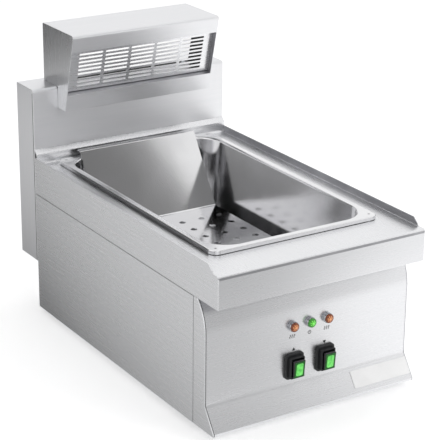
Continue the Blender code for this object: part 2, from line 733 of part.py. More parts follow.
def foot_places():
    """Centres of the feet in plan."""
    x = HALF_WIDTH - FOOT_SIDE_INSET
    front = FRONT_Y + FOOT_FRONT_INSET
    rear = BACK_Y - FOOT_REAR_INSET
    return {"front_left": (-x, front), "front_right": (x, front), "rear_left": (-x, rear), "rear_right": (x, rear)}


def make_base():
    """Base tray with upturned sides."""
    outer = HALF_WIDTH - SHEET - GAP
    inner = outer - SHEET
    section = [(-outer, BODY_Z), (outer, BODY_Z), (outer, BODY_Z + BASE_FLANGE), (inner, BODY_Z + BASE_FLANGE),
               (inner, BODY_Z + SHEET), (-inner, BODY_Z + SHEET), (-inner, BODY_Z + BASE_FLANGE),
               (-outer, BODY_Z + BASE_FLANGE)]
    base = prism("base_tray", section, 'Y', PANEL_Y + SHEET + GAP, PANEL_FLANGE_Y - SHEET - GAP, "brushed_steel")
    places = [(x, y, BODY_Z) for x, y in foot_places().values()]
    cut(base, round_holes("foot_stud_holes", places, FOOT_STUD_HOLE, 'Z', OVERRUN))


def make_feet():
    """Four rubber feet, each with a moulded-in stud through the base tray."""
    top = BODY_Z - GAP
    radius = FOOT_DIAMETER / 2
    stud = FOOT_STUD / 2
    profile = [(0, 0), (radius - FOOT_TAPER, 0), (radius, FOOT_TAPER), (radius, top), (stud, top),
               (stud, BODY_Z + FOOT_STUD_REACH), (0, BODY_Z + FOOT_STUD_REACH)]
    for name, (x, y) in foot_places().items():
        turned("foot_" + name, profile, (x, y, 0), 'Z', 16, "rubber")


def upstand_bolt_places():
    """Bolts that hold the upstand against the casing's back panel."""
    x = HALF_WIDTH - UPSTAND_RETURN * 3
    z = (UPSTAND_BOTTOM_Z + SEAM_Z) / 2
    return {"left": (-x, z), "right": (x, z)}


def make_back_panel():
    """Casing back panel with the holes for the cable gland, bonding stud, leads and bolts."""
    x = HALF_WIDTH - SHEET - GAP
    panel = box("back_panel", (-x, BACK_Y - SHEET, BODY_Z), (x, BACK_Y, SEAM_Z + BACK_PANEL_RISE), "brushed_steel")
    entry_z = BODY_Z + ENTRY_RISE
    cut(panel, round_holes("gland_hole", [(ENTRY_X, BACK_Y, entry_z)], GLAND_HOLE, 'Y', OVERRUN, 16))
    cut(panel, round_holes("stud_hole", [(-ENTRY_X, BACK_Y, entry_z)], STUD_HOLE, 'Y', OVERRUN, 10))
    lead = (LEAD_X, BACK_Y, BODY_Z + LEAD_RISE)
    cut(panel, round_holes("panel_lead_hole", [lead], LEAD_HOLE, 'Y', OVERRUN, 12))
    bolts = [(bx, BACK_Y, z) for bx, z in upstand_bolt_places().values()]
    cut(panel, round_holes("panel_bolt_holes", bolts, BOLT_HOLE, 'Y', OVERRUN))


def make_upstand():
    """Upstand box: shell with returns, recessed back cover with its screws, bottom plate and bolts."""
    low_z = UPSTAND_BOTTOM_Z
    corner = (UPSTAND_Y + UPSTAND_RADIUS, UPSTAND_TOP_Z - UPSTAND_RADIUS)
    edge = arc(corner, UPSTAND_RADIUS, math.pi, math.pi / 2, 4)
    outline = [(UPSTAND_Y, low_z)] + edge + [(REAR_Y, UPSTAND_TOP_Z), (REAR_Y, low_z)]
    shell = prism("upstand_shell", outline, 'X', -HALF_WIDTH, HALF_WIDTH, "brushed_steel")
    inner_edge = arc(corner, UPSTAND_RADIUS - SHEET, math.pi, math.pi / 2, 4)
    ceiling = UPSTAND_TOP_Z - SHEET
    inner_x = HALF_WIDTH - SHEET
    return_y = COVER_Y - GAP - SHEET
    inside = [(UPSTAND_Y + SHEET, low_z - OVERRUN)] + inner_edge
    inside += [(return_y, ceiling), (return_y, low_z - OVERRUN)]
    cut(shell, prism("upstand_inside", inside, 'X', -inner_x, inner_x, None))
    frame_x = inner_x - UPSTAND_RETURN
    frame_z = ceiling - UPSTAND_RETURN
    cut(shell, box("upstand_frame", (-frame_x, return_y - OVERRUN, low_z - OVERRUN),
                   (frame_x, COVER_Y + OVERRUN, frame_z), None))
    cut(shell, box("upstand_recess", (-inner_x, COVER_Y - GAP, low_z - OVERRUN),
                   (inner_x, REAR_Y + OVERRUN, ceiling), None))
    bolts = [(x, UPSTAND_Y, z) for x, z in upstand_bolt_places().values()]
    cut(shell, round_holes("upstand_bolt_holes", bolts, BOLT_HOLE, 'Y', OVERRUN))
    lead = (LEAD_X, UPSTAND_Y, BODY_Z + LEAD_RISE)
    cut(shell, round_holes("upstand_lead_hole", [lead], LEAD_HOLE, 'Y', OVERRUN, 12))
    top_holes = [(x, y, UPSTAND_TOP_Z) for x, y in hood_bolt_places().values()]
    cut(shell, round_holes("upstand_top_holes", top_holes, BOLT_HOLE, 'Z', OVERRUN))
    riser = (LEAD_X, riser_y(), UPSTAND_TOP_Z)
    riser_hole = HOOD_LEAD + 2 * LEAD_HOLE_CLEARANCE
    cut(shell, round_holes("upstand_riser_hole", [riser], riser_hole, 'Z', OVERRUN, 12))
    cover_x = inner_x - GAP
    cover = box("upstand_cover", (-cover_x, COVER_Y, low_z), (cover_x, COVER_Y + SHEET, ceiling - GAP),
                "brushed_steel")
    screw_x = inner_x - UPSTAND_RETURN / 2
    places = [(side * screw_x, COVER_Y + SHEET, ceiling - UPSTAND_RETURN) for side in (-1, 1)]
    cut(cover, round_holes("cover_holes", places, SCREW_HOLE, 'Y', OVERRUN))
    cut(shell, round_holes("return_holes", places, SCREW_HOLE, 'Y', OVERRUN))
    for name, (x, y, z) in zip(("left", "right"), places):
        profile = [(0, SCREW_HEAD_HEIGHT), (SCREW_HEAD / 2, SCREW_HEAD_HEIGHT), (SCREW_HEAD / 2, 0),
                   (SCREW_SHANK / 2, 0), (SCREW_SHANK / 2, -SCREW_REACH), (0, -SCREW_REACH)]
        turned("cover_screw_" + name, profile, (x, y + GAP, z), 'Y', 8, "plated_steel")
    box("upstand_bottom", (-inner_x + GAP, UPSTAND_Y + SHEET + GAP, low_z),
        (inner_x - GAP, return_y - GAP, low_z + SHEET), "brushed_steel")
    seat = UPSTAND_Y + SHEET + GAP
    for name, (x, z) in upstand_bolt_places().items():
        make_bolt("upstand_bolt_" + name, (x, seat, z), 'Y', seat - (BACK_Y - SHEET - GAP))


def make_bolt(name, place, axis, grip):
    """Bolt with its nut on: the head sits at the place and the nut lies below the grip."""
    head = BOLT_HEAD / 2
    shank = BOLT_SHANK / 2
    low = -grip - BOLT_NUT_LENGTH
    profile = [(0, BOLT_HEAD_HEIGHT), (head, BOLT_HEAD_HEIGHT), (head, 0), (shank, 0), (shank, -grip),
               (head, -grip), (head, low), (0, low)]
    turned(name, profile, place, axis, 6, "plated_steel")


def riser_y():
    """Where the hood's leads rise through the upstand's top, close to its back."""
    return HOOD_REAR_Y - SHEET - LEAD_WALL_CLEARANCE - HOOD_LEAD / 2


def hood_bolt_places():
    """Bolts through the hood's floor, behind the grille."""
    x = HOOD_X - BOLT_HEAD * 3
    y = UPSTAND_Y + BOLT_HEAD * 2
    return {"left": (-x, y), "right": (x, y)}


def slope_point(down, inward):
    """A point of the hood's section, from distances down and in from its top front edge."""
    place = HOOD_FRAME @ Vector((0, inward, -down))
    return (place.y, place.z)


def make_hood():
    """Hood shell: top, sides, upper band and lower band around a recessed opening."""
    skirt_y = UPSTAND_Y - HOOD_SKIRT_CLEARANCE
    toe_y, _ = slope_point(HOOD_SLOPE, 0)
    start = math.pi / 2
    end = math.pi + HOOD_LEAN
    radius = HOOD_RADIUS
    reach = radius * math.tan((end - start) / 2)
    centre = (HOOD_Y + reach, HOOD_TOP_Z - radius)
    edge = arc(centre, radius, start, end, 5)
    outline = [(HOOD_REAR_Y, HOOD_BOTTOM_Z), (HOOD_REAR_Y, HOOD_TOP_Z), *edge, (toe_y, HOOD_SKIRT_Z),
               (skirt_y, HOOD_SKIRT_Z), (skirt_y, HOOD_BOTTOM_Z)]
    shell = prism("hood_shell", outline, 'X', -HOOD_X, HOOD_X, "brushed_steel")
    inner_x = HOOD_X - SHEET
    inner_edge = arc(centre, radius - SHEET, start, end, 5)
    sill = HOOD_BAND + HOOD_OPENING
    inside = [(HOOD_REAR_Y + OVERRUN, HOOD_TOP_Z - SHEET), *inner_edge,
              slope_point(HOOD_BAND - SHEET, SHEET), slope_point(HOOD_BAND - SHEET, HOOD_LEDGE),
              slope_point(HOOD_BAND, HOOD_LEDGE), slope_point(HOOD_BAND, -OVERRUN),
              slope_point(sill, -OVERRUN), slope_point(sill, HOOD_LEDGE),
              slope_point(sill + SHEET, HOOD_LEDGE), slope_point(sill + SHEET, SHEET),
              slope_point(HOOD_SLOPE + OVERRUN, SHEET), (skirt_y + OVERRUN, HOOD_SKIRT_Z - OVERRUN * 2),
              (HOOD_REAR_Y + OVERRUN, HOOD_SKIRT_Z - OVERRUN * 2)]
    cut(shell, prism("hood_inside", inside, 'X', -inner_x, inner_x, None))
    floor_x = inner_x - GAP
    back_y = HOOD_REAR_Y - SHEET
    floor_low = HOOD_BOTTOM_Z
    floor_high = floor_low + SHEET
    down = (HOOD_TOP_Z - floor_high) / math.cos(HOOD_LEAN)
    front_y, _ = slope_point(down, GRILLE_RECESS + GRILLE_SHEET + SHEET)
    floor = box("hood_floor", (-floor_x, front_y, floor_low), (floor_x, back_y - GAP, floor_high), "bright_steel")
    holes = [(x, y, floor_high) for x, y in hood_bolt_places().values()]
    cut(floor, round_holes("floor_bolt_holes", holes, BOLT_HOLE, 'Z', OVERRUN))
    riser_hole = HOOD_LEAD + 2 * LEAD_HOLE_CLEARANCE
    cut(floor, round_holes("floor_riser_hole", [(LEAD_X, riser_y(), floor_high)], riser_hole, 'Z', OVERRUN, 12))
    seat = floor_high + GAP
    for name, (x, y) in hood_bolt_places().items():
        make_bolt("hood_bolt_" + name, (x, y, seat), 'Z', seat - (UPSTAND_TOP_Z - SHEET - GAP))
    cover_top = HOOD_TOP_Z - SHEET - GAP
    box("hood_back_cover", (-floor_x, back_y, floor_low), (floor_x, HOOD_REAR_Y, cover_top), "brushed_steel")


def make_grille():
    """Slotted grille, recessed behind the hood's front."""
    top = HOOD_BAND + GAP
    bottom = HOOD_BAND + HOOD_OPENING - GAP
    deep = GRILLE_RECESS + GRILLE_FLANGE
    line = [(deep, -bottom), (GRILLE_RECESS, -bottom), (GRILLE_RECESS, -top), (deep, -top)]
    half = HOOD_X - SHEET - GAP
    grille = prism("hood_grille", sheet_outline(line, -GRILLE_SHEET), 'X', -half, half, "brushed_steel", HOOD_FRAME)
    middle = -HOOD_BAND - HOOD_OPENING / 2
    rows = int((HOOD_OPENING - 2 * SLOT_ROW_MARGIN) / SLOT_ROW_PITCH) + 1
    columns = int((2 * half - 2 * SLOT_COLUMN_MARGIN - SLOT_LENGTH) / SLOT_COLUMN_PITCH) + 1
    bm = bmesh.new()
    for row in range(rows):
        z = middle + (row - (rows - 1) / 2) * SLOT_ROW_PITCH
        for column in range(columns):
            x = (column - (columns - 1) / 2) * SLOT_COLUMN_PITCH
            slot = rounded_outline(SLOT_LENGTH / 2, SLOT_HEIGHT / 2, SLOT_HEIGHT / 2 * 0.999, 2, (x, z))
            add_prism(bm, slot, 'Y', GRILLE_RECESS - OVERRUN / 2, GRILLE_RECESS + OVERRUN / 2)
    cut(grille, finish_mesh("grille_slots", bm, None, HOOD_FRAME))


def plate_frame():
    """Frame at the radiant plate's lower front edge, leaning as the hood's front does."""
    y = HOOD_REAR_Y - SHEET - PLATE_REAR_REACH
    return Matrix.Translation((0, y, PLATE_Z)) @ Matrix.Rotation(HOOD_LEAN, 4, 'X')


def make_emitter():
    """Radiant plate, the tray behind it, its brackets and its terminal block."""
    place = plate_frame()
    half = PLATE_WIDTH / 2
    box("radiant_plate", (-half, 0, 0), (half, PLATE_THICKNESS, PLATE_HEIGHT), "white_ceramic", place)
    back = PLATE_THICKNESS + GAP
    front = back - TRAY_LIP
    low = -GAP
    high = PLATE_HEIGHT + GAP
    line = [(front, low), (back, low), (back, high), (front, high)]
    prism("radiant_tray", sheet_outline(line, -TRAY_SHEET), 'X', -half, half, "bright_steel", place)
    tray_back = back + TRAY_SHEET + GAP
    bracket_half = BRACKET_SHARE * PLATE_WIDTH / 2
    spine = place @ Vector((0, tray_back, PLATE_HEIGHT / 2))
    foot = place @ Vector((0, tray_back, 0))
    cover_y = HOOD_REAR_Y - SHEET - GAP
    section = [(spine.y, spine.z), (foot.y, foot.z), (cover_y, foot.z), (cover_y, foot.z + SHEET * 2),
               (foot.y + SHEET * 2, foot.z + SHEET * 2), (spine.y + SHEET * 2, spine.z)]
    prism("emitter_bracket", section, 'X', -bracket_half, bracket_half, "plated_steel")
    block_half = EMITTER_BLOCK_WIDTH / 2
    box("emitter_block", (LEAD_X - block_half, tray_back, EMITTER_BLOCK_RISE),
        (LEAD_X + block_half, tray_back + EMITTER_BLOCK_DEPTH, EMITTER_BLOCK_RISE + EMITTER_BLOCK_HEIGHT),
        "white_ceramic", place)


def pan_loop(inset_x, inset_y, radius, z):
    """One rounded rectangle of the pan, given the distance in from the rim's edge."""
    outline = rounded_outline(PAN_WIDTH / 2 - inset_x, PAN_LENGTH / 2 - inset_y, radius, 5, (0, PAN_Y))
    return [(x, y, z) for x, y in outline]


def make_pan():
    """Gastronorm container with a rolled rim and tapered, rounded walls."""
    diagonal = 1 - math.sqrt(0.5)
    edge = PAN_EDGE_RADIUS
    throat = PAN_THROAT
    floor = PAN_FLOOR_RADIUS
    low_z = TOP_Z + GAP
    inner_floor_z = PAN_FLOOR_Z + PAN_WALL

    def ring(inset, radius, z):
        return pan_loop(inset, inset, radius, z)

    wall = PAN_WALL
    flange = PAN_FLANGE
    deep = flange + PAN_TAPER
    corner = PAN_INNER_CORNER
    inside = [
        ring(0, PAN_CORNER, low_z),
        ring(0, PAN_CORNER, PAN_TOP_Z - edge),
        ring(edge * diagonal, PAN_CORNER - edge * diagonal, PAN_TOP_Z - edge * diagonal),
        ring(edge, PAN_CORNER - edge, PAN_TOP_Z),
        ring(flange - throat, corner + throat, PAN_TOP_Z),
        ring(flange - throat * diagonal, corner + throat * diagonal, PAN_TOP_Z - throat * diagonal),
        ring(flange, corner, PAN_TOP_Z - throat),
        ring(deep, corner - PAN_TAPER, inner_floor_z + floor),
        ring(deep + floor * diagonal, corner - PAN_TAPER - floor * diagonal, inner_floor_z + floor * diagonal),
        ring(deep + floor, corner - PAN_TAPER - floor, inner_floor_z),
    ]
    outer_floor = floor + wall
    outer_throat = throat - wall
    outside = [
        ring(deep + floor, corner - PAN_TAPER - floor, PAN_FLOOR_Z),
        ring(deep - wall + outer_floor * diagonal, corner - PAN_TAPER + wall - outer_floor * diagonal,
             PAN_FLOOR_Z + outer_floor * diagonal),
        ring(deep - wall, corner - PAN_TAPER + wall, inner_floor_z + floor),
        ring(flange - wall, corner + wall, PAN_TOP_Z - throat),
        ring(flange - wall - outer_throat * diagonal, corner + wall + outer_throat * diagonal,
             PAN_TOP_Z - throat + outer_throat * (1 - diagonal)),
        ring(flange - throat, corner + throat, PAN_TOP_Z - wall),
        ring(wall, PAN_CORNER - wall, PAN_TOP_Z - wall),
        ring(wall, PAN_CORNER - wall, low_z),
    ]
    pan = loft("gastro_pan", list(reversed(inside)) + list(reversed(outside)), "bright_steel")
    inset_x = PAN_WIDTH / 2 - PAN_HOLE_INSET
    inset_y = PAN_LENGTH / 2 - PAN_HOLE_INSET
    places = [(sx * inset_x, PAN_Y + sy * inset_y, PAN_TOP_Z) for sx in (-1, 1) for sy in (-1, 1)]
    cut(pan, round_holes("rim_holes", places, PAN_HOLE, 'Z', OVERRUN / 2))
    set_origin(pan, (0, PAN_Y, PAN_FLOOR_Z))


def make_insert():
    """Perforated insert: floor on two legs, sloped back and a folded top edge."""
    stand_z = PAN_FLOOR_Z + PAN_WALL + GAP
    floor_z = stand_z + INSERT_STAND
    fold_y = FRONT_Y + PAN_FRONT + PAN_LENGTH - INSERT_FOLD_INSET + PAN_FLANGE + GAP
    fold_z = TOP_Z + INSERT_FOLD_RISE
    heel_y = fold_y - (fold_z - floor_z) * math.tan(INSERT_LEAN)
    toe_y = FRONT_Y + PAN_FRONT + PAN_FLANGE + PAN_TAPER + PAN_FLOOR_RADIUS + INSERT_FRONT_CLEARANCE
    line = [(toe_y, stand_z), (toe_y, floor_z), (heel_y, floor_z), (fold_y, fold_z),
            (fold_y + INSERT_TOP_FLANGE, fold_z - INSERT_FLANGE_DROP)]
    half = INSERT_WIDTH / 2
    insert = prism("fry_insert", sheet_outline(line, -INSERT_SHEET), 'X', -half, half, "bright_steel")
    leg_y = heel_y - INSERT_REAR_LEG_INSET
    fuse(insert, box("insert_rear_leg", (-half, leg_y, stand_z), (half, leg_y + INSERT_SHEET,
                                                                   floor_z - INSERT_SHEET / 2), None))
    columns = int((INSERT_WIDTH - 2 * INSERT_HOLE_MARGIN) / INSERT_HOLE_PITCH)
    rows = int((leg_y - toe_y - 2 * INSERT_HOLE_MARGIN) / INSERT_HOLE_PITCH)
    middle_y = (toe_y + leg_y) / 2
    places = []
    for row in range(rows + 1):
        y = middle_y + (row - rows / 2) * INSERT_HOLE_PITCH
        for column in range(columns + 1):
            places.append(((column - columns / 2) * INSERT_HOLE_PITCH, y, floor_z))
    cut(insert, round_holes("insert_holes", places, INSERT_HOLE, 'Z', OVERRUN))
    set_origin(insert, (0, toe_y, stand_z))


def make_well():
    """Well box hung under the worktop, with its insulation and the tray that carries that."""
    outer = rounded_outline(WELL_X + WELL_FLANGE, WELL_Y + WELL_FLANGE, PAN_CORNER, 2, (0, PAN_Y))
    well = prism("well_box", outer, 'Z', WELL_TOP_Z - WELL_SHEET, WELL_TOP_Z, "plated_steel")
    side = WELL_TOP_Z - WELL_SHEET / 2
    fuse(well, box("well_walls", (-WELL_X, PAN_Y - WELL_Y, WELL_FLOOR_Z), (WELL_X, PAN_Y + WELL_Y, side), None))
    inner_x = WELL_X - WELL_SHEET
    inner_y = WELL_Y - WELL_SHEET
    cut(well, box("well_inside", (-inner_x, PAN_Y - inner_y, WELL_FLOOR_Z + WELL_SHEET),
                  (inner_x, PAN_Y + inner_y, WELL_TOP_Z + OVERRUN), None))
    tails = [(x, PAN_Y - WELL_Y, ELEMENT_Z) for x in element_tails()]
    cut(well, round_holes("element_holes", tails, ELEMENT_DIAMETER + 2 * GAP, 'Y', OVERRUN, 10))
    slab_x = WELL_X - INSULATION_INSET
    slab_y = WELL_Y - INSULATION_INSET
    slab_top = WELL_FLOOR_Z - GAP
    slab_low = slab_top - INSULATION_THICKNESS
    box("well_insulation", (-slab_x, PAN_Y - slab_y, slab_low), (slab_x, PAN_Y + slab_y, slab_top), "mineral_wool")
    arm_x = WELL_X + GAP
    strap = [(-arm_x, WELL_FLOOR_Z + TRAY_ARM), (-arm_x, slab_low - GAP), (arm_x, slab_low - GAP),
             (arm_x, WELL_FLOOR_Z + TRAY_ARM)]
    reach = TRAY_SHARE * PAN_LENGTH / 2
    prism("insulation_tray", sheet_outline(strap, -WELL_SHEET), 'Y', PAN_Y - reach, PAN_Y + reach, "plated_steel")


def element_tails():
    """Sideways places of the element's first and last run."""
    reach = (ELEMENT_RUNS - 1) / 2 * ELEMENT_PITCH
    return (-reach, reach)


def make_element():
    """Serpentine tubular element, its supports and its gland nuts."""
    radius = ELEMENT_PITCH / 2
    wall_y = PAN_Y - WELL_Y
    near = wall_y + ELEMENT_END_INSET + radius
    far = PAN_Y + WELL_Y - ELEMENT_END_INSET - radius
    first, last = element_tails()
    path = [(first, wall_y - ELEMENT_TAIL, ELEMENT_Z)]
    for run in range(ELEMENT_RUNS - 1):
        turn_y, sign = (far, 1) if run % 2 == 0 else (near, -1)
        centre_x = first + (run + 0.5) * ELEMENT_PITCH
        for step in range(9):
            angle = math.pi * (1 - step / 8)
            path.append((centre_x + radius * math.cos(angle), turn_y + sign * radius * math.sin(angle), ELEMENT_Z))
    path.append((last, wall_y - ELEMENT_TAIL, ELEMENT_Z))
    tube("lower_element", path, ELEMENT_DIAMETER, "element_steel")
    nut_y = wall_y - GAP
    profile = [(ELEMENT_DIAMETER / 2 + GAP, 0), (GLAND_NUT / 2, 0), (GLAND_NUT / 2, -GLAND_NUT_LENGTH),
               (ELEMENT_DIAMETER / 2 + GAP, -GLAND_NUT_LENGTH)]
    for name, x in zip(("left", "right"), element_tails()):
        turned("element_nut_" + name, profile, (x, nut_y, ELEMENT_Z), 'Y', 12, "brass")
    top = ELEMENT_Z - ELEMENT_DIAMETER / 2 - GAP
    foot = WELL_FLOOR_Z + WELL_SHEET + GAP
    half = last + SUPPORT_OVERHANG
    line = [(-half, foot), (-half, top), (half, top), (half, foot)]
    for name, share in zip(("front", "rear"), SUPPORT_SHARES):
        y = PAN_Y - WELL_Y + share * 2 * WELL_Y
        prism("element_support_" + name, sheet_outline(line, -WELL_SHEET), 'Y', y - SUPPORT_WIDTH / 2,
              y + SUPPORT_WIDTH / 2, "plated_steel")


def make_discs():
    """Pan thermostat and safety cut-out on the well's left wall."""
    for name, share in zip(("pan_thermostat", "safety_cutout"), DISC_SHARES):
        y = PAN_Y - WELL_Y + share * 2 * WELL_Y
        z = WELL_FLOOR_Z + DISC_RISE
        base = WELL_X + GAP
        flange = base + SHEET
        tip = base + DISC_DEPTH
        profile = [(0, base), (DISC_FLANGE / 2, base), (DISC_FLANGE / 2, flange), (DISC_DIAMETER / 2, flange),
                   (DISC_DIAMETER / 2, tip), (0, tip)]
        flipped = [(radius, -height) for radius, height in profile]
        turned(name, flipped, (0, y, z), 'X', 12, "black_plastic")


def make_mains_entry():
    """Cable gland, its lock nut, bonding stud and terminal block."""
    entry = (ENTRY_X, BACK_Y, BODY_Z + ENTRY_RISE)
    bore = GLAND_BORE / 2
    thread = GLAND_THREAD / 2
    outer = GAP + GLAND_BODY_LENGTH
    profile = [(bore, -GLAND_REACH), (thread, -GLAND_REACH), (thread, GAP), (GLAND_BODY / 2, GAP),
               (GLAND_BODY / 2, outer), (GLAND_CAP / 2, outer), (bore + SHEET, outer + GLAND_CAP_LENGTH),
               (bore, outer + GLAND_CAP_LENGTH)]
    turned("cable_gland", profile, entry, 'Y', 12, "black_plastic")
    start = -SHEET - GAP
    nut = [(thread + GAP, start), (GLAND_BODY / 2, start), (GLAND_BODY / 2, start - GLAND_LOCKNUT_LENGTH),
           (thread + GAP, start - GLAND_LOCKNUT_LENGTH)]
    turned("gland_locknut", nut, entry, 'Y', 12, "black_plastic")
    stud_at = (-ENTRY_X, BACK_Y, BODY_Z + ENTRY_RISE)
    half = STUD_LENGTH / 2
    shank = STUD_DIAMETER / 2
    nut = STUD_NUT / 2
    inner = -SHEET - GAP
    profile = [(0, -half), (shank, -half), (shank, inner - STUD_NUT_LENGTH), (nut, inner - STUD_NUT_LENGTH),
               (nut, inner), (shank, inner), (shank, GAP), (nut, GAP), (nut, GAP + STUD_NUT_LENGTH),
               (shank, GAP + STUD_NUT_LENGTH), (shank, half), (0, half)]
    turned("bonding_stud", profile, stud_at, 'Y', 12, "brass")
    x, y, z = terminal_corner()
    top = z + TERMINAL_HEIGHT
    shelf = z + TERMINAL_HEIGHT - TERMINAL_STEP
    section = [(y, z), (y + TERMINAL_DEPTH, z), (y + TERMINAL_DEPTH, shelf),
               (y + TERMINAL_DEPTH - TERMINAL_STEP, shelf), (y + TERMINAL_DEPTH - TERMINAL_STEP, top),
               (y + TERMINAL_STEP, top), (y + TERMINAL_STEP, shelf), (y, shelf)]
    block = prism("terminal_block", section, 'X', x, x + TERMINAL_LENGTH, "white_plastic")
    pitch = TERMINAL_LENGTH / TERMINAL_WAYS
    middle_y = y + TERMINAL_DEPTH / 2
    slots = [(x + (way + 0.5) * pitch, middle_y, top) for way in range(TERMINAL_WAYS)]
    cut(block, round_holes("terminal_screws", slots, TERMINAL_SLOT, 'Z', TERMINAL_STEP, 6))


def terminal_corner():
    """Lowest corner of the terminal block, on the base tray."""
    return (ENTRY_X - TERMINAL_LENGTH / 2, BACK_Y - TERMINAL_REAR_INSET - TERMINAL_DEPTH,
            BODY_Z + SHEET + GAP)


def make_leads():
    """Hood leads, the loom to the switches, and the grommet where the leads enter the upstand."""
    x, y, z = terminal_corner()
    shelf = z + TERMINAL_HEIGHT - TERMINAL_STEP
    well_rear = PAN_Y + WELL_Y
    lift_y = (well_rear + BACK_Y - SHEET) / 2
    hole_z = BODY_Z + LEAD_RISE
    radius = HOOD_LEAD / 2
    start = (LEAD_X, y + TERMINAL_DEPTH + LEAD_HOLE_CLEARANCE, z + TERMINAL_STEP)
    ease = HOOD_LEAD * 3
    end = plate_frame() @ Vector((LEAD_X, PLATE_THICKNESS + GAP * 2 + TRAY_SHEET + EMITTER_BLOCK_DEPTH / 2,
                                  EMITTER_BLOCK_RISE - GAP))
    tail = plate_frame() @ Vector((LEAD_X, PLATE_THICKNESS + GAP * 2 + TRAY_SHEET + EMITTER_BLOCK_DEPTH / 2,
                                   EMITTER_BLOCK_RISE - ease))
    route = [start, (LEAD_X, start[1] + ease, start[2]),
             (LEAD_X, lift_y, start[2] + ease + ease),
             (LEAD_X, lift_y, hole_z - ease - radius),
             (LEAD_X, lift_y + radius, hole_z - radius),
             (LEAD_X, BACK_Y, hole_z),
             (LEAD_X, UPSTAND_Y + ease, hole_z + radius),
             (LEAD_X, riser_y() - ease, hole_z + ease + ease),
             (LEAD_X, riser_y(), hole_z + UPSTAND_DEPTH + ease),
             (LEAD_X, riser_y(), UPSTAND_TOP_Z - ease * 2),
             (LEAD_X, riser_y(), UPSTAND_TOP_Z - radius),
             (LEAD_X, riser_y(), HOOD_BOTTOM_Z + SHEET + radius),
             tuple(tail), tuple(end)]
    tube("hood_leads", smooth_path(route, HOOD_LEAD * 2), HOOD_LEAD, "cable")
    sleeve = LEAD_HOLE / 2 - GAP
    bore = GROMMET_BORE / 2
    face = UPSTAND_Y + SHEET + GAP - BACK_Y
    flange = face + GROMMET_FLANGE_THICKNESS
    inner = -SHEET - GAP
    profile = [(bore, inner), (sleeve, inner), (sleeve, face), (GROMMET_FLANGE / 2, face),
               (GROMMET_FLANGE / 2, flange), (bore, flange)]
    turned("lead_grommet", profile, (LEAD_X, BACK_Y, hole_z), 'Y', 12, "rubber")
    loom_z = BODY_Z + SHEET + LEAD_FLOOR_CLEARANCE + LOOM / 2
    loom_x = ENTRY_X - TERMINAL_LENGTH / 2 + LOOM
    switch_x, switch_y, switch_z = switch_places()[1]
    end_y = switch_y + SWITCH_BODY_REACH + GAP
    route = [(loom_x, y - GAP, shelf - LOOM), (loom_x, y - LOOM * 3, loom_z + LOOM / 2),
             (loom_x, y - LOOM * 6, loom_z + LOOM / 8), (loom_x, y - LOOM * 9, loom_z),
             (loom_x, PANEL_Y + LOOM * 10, loom_z), (loom_x, PANEL_Y + LOOM * 8, loom_z + LOOM / 8),
             (loom_x - LOOM, PANEL_Y + LOOM * 5, loom_z + LOOM),
             (switch_x + LOOM, end_y + LOOM * 3, switch_z - LOOM * 3),
             (switch_x, end_y + LOOM * 2, switch_z), (switch_x, end_y, switch_z)]
    tube("control_loom", smooth_path(route, LOOM * 2), LOOM, "cable")


def build():
    """Model the whole object."""
    for obj in list(bpy.data.objects):
        bpy.data.objects.remove(obj, do_unlink=True)
    make_worktop()
    make_side_panel("side_panel_left", -1)
    make_side_panel("side_panel_right", 1)
    make_fascia()
    make_base()
    make_feet()
    make_back_panel()
    make_upstand()
    make_hood()
    make_grille()
    make_emitter()
    make_pan()
    make_insert()
    make_well()
    make_element()
    make_discs()
    make_mains_entry()
    make_leads()
    make_label()
    for name, place, colour in zip(("left", "middle", "right"), lamp_places(), ("amber", "green", "amber")):
        make_lamp("lamp_" + name, place, colour)
    for name, place in zip(("left", "right"), switch_places()):
        make_switch("switch_" + name, place)


build()
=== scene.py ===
# Table-top chip warmer with a radiant hood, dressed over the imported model.
import math

import bmesh
import bpy
from mathutils import Matrix, Vector, noise


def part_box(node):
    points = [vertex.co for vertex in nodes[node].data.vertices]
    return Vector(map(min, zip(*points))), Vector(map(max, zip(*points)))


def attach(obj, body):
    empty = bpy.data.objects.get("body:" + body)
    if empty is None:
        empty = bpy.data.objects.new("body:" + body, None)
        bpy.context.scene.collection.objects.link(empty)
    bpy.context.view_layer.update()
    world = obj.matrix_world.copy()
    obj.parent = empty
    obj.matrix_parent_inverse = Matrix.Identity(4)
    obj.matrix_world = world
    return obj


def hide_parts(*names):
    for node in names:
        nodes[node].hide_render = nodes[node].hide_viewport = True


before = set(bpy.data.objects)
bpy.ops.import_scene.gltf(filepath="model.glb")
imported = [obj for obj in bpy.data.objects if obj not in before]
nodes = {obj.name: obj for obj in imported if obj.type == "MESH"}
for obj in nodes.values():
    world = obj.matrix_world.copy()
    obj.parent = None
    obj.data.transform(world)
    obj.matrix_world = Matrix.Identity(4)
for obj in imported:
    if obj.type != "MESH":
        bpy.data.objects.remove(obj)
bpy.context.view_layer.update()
mm = 0.001
# what counts as the same place: cut exactly, packed as one, or somewhere on a fold
touching, welded, nearby = 0.01 * mm, 0.02 * mm, 0.3 * mm
fullWidth = 100 * mm                     # an edge longer than this runs right across the machine


def linearColour(hexText, alpha=1.0):
    # sRGB hex to the linear values that the shaders want
    channels = [int(hexText[i:i + 2], 16) / 255 for i in (1, 3, 5)]
    return tuple(c / 12.92 if c <= 0.04045 else ((c + 0.055) / 1.055) ** 2.4 for c in channels) + (alpha,)


def addNode(tree, kind, settings=None, links=None):
    # one node with its settings, and links given as {input: (node, output)}
    node = tree.nodes.new(kind)
    for key, value in (settings or {}).items():
        if isinstance(key, int) or key in node.inputs:
            node.inputs[key].default_value = value
        else:
            setattr(node, key, value)
    for key, (source, output) in (links or {}).items():
        tree.links.new(source.outputs[output], node.inputs[key])
    return node


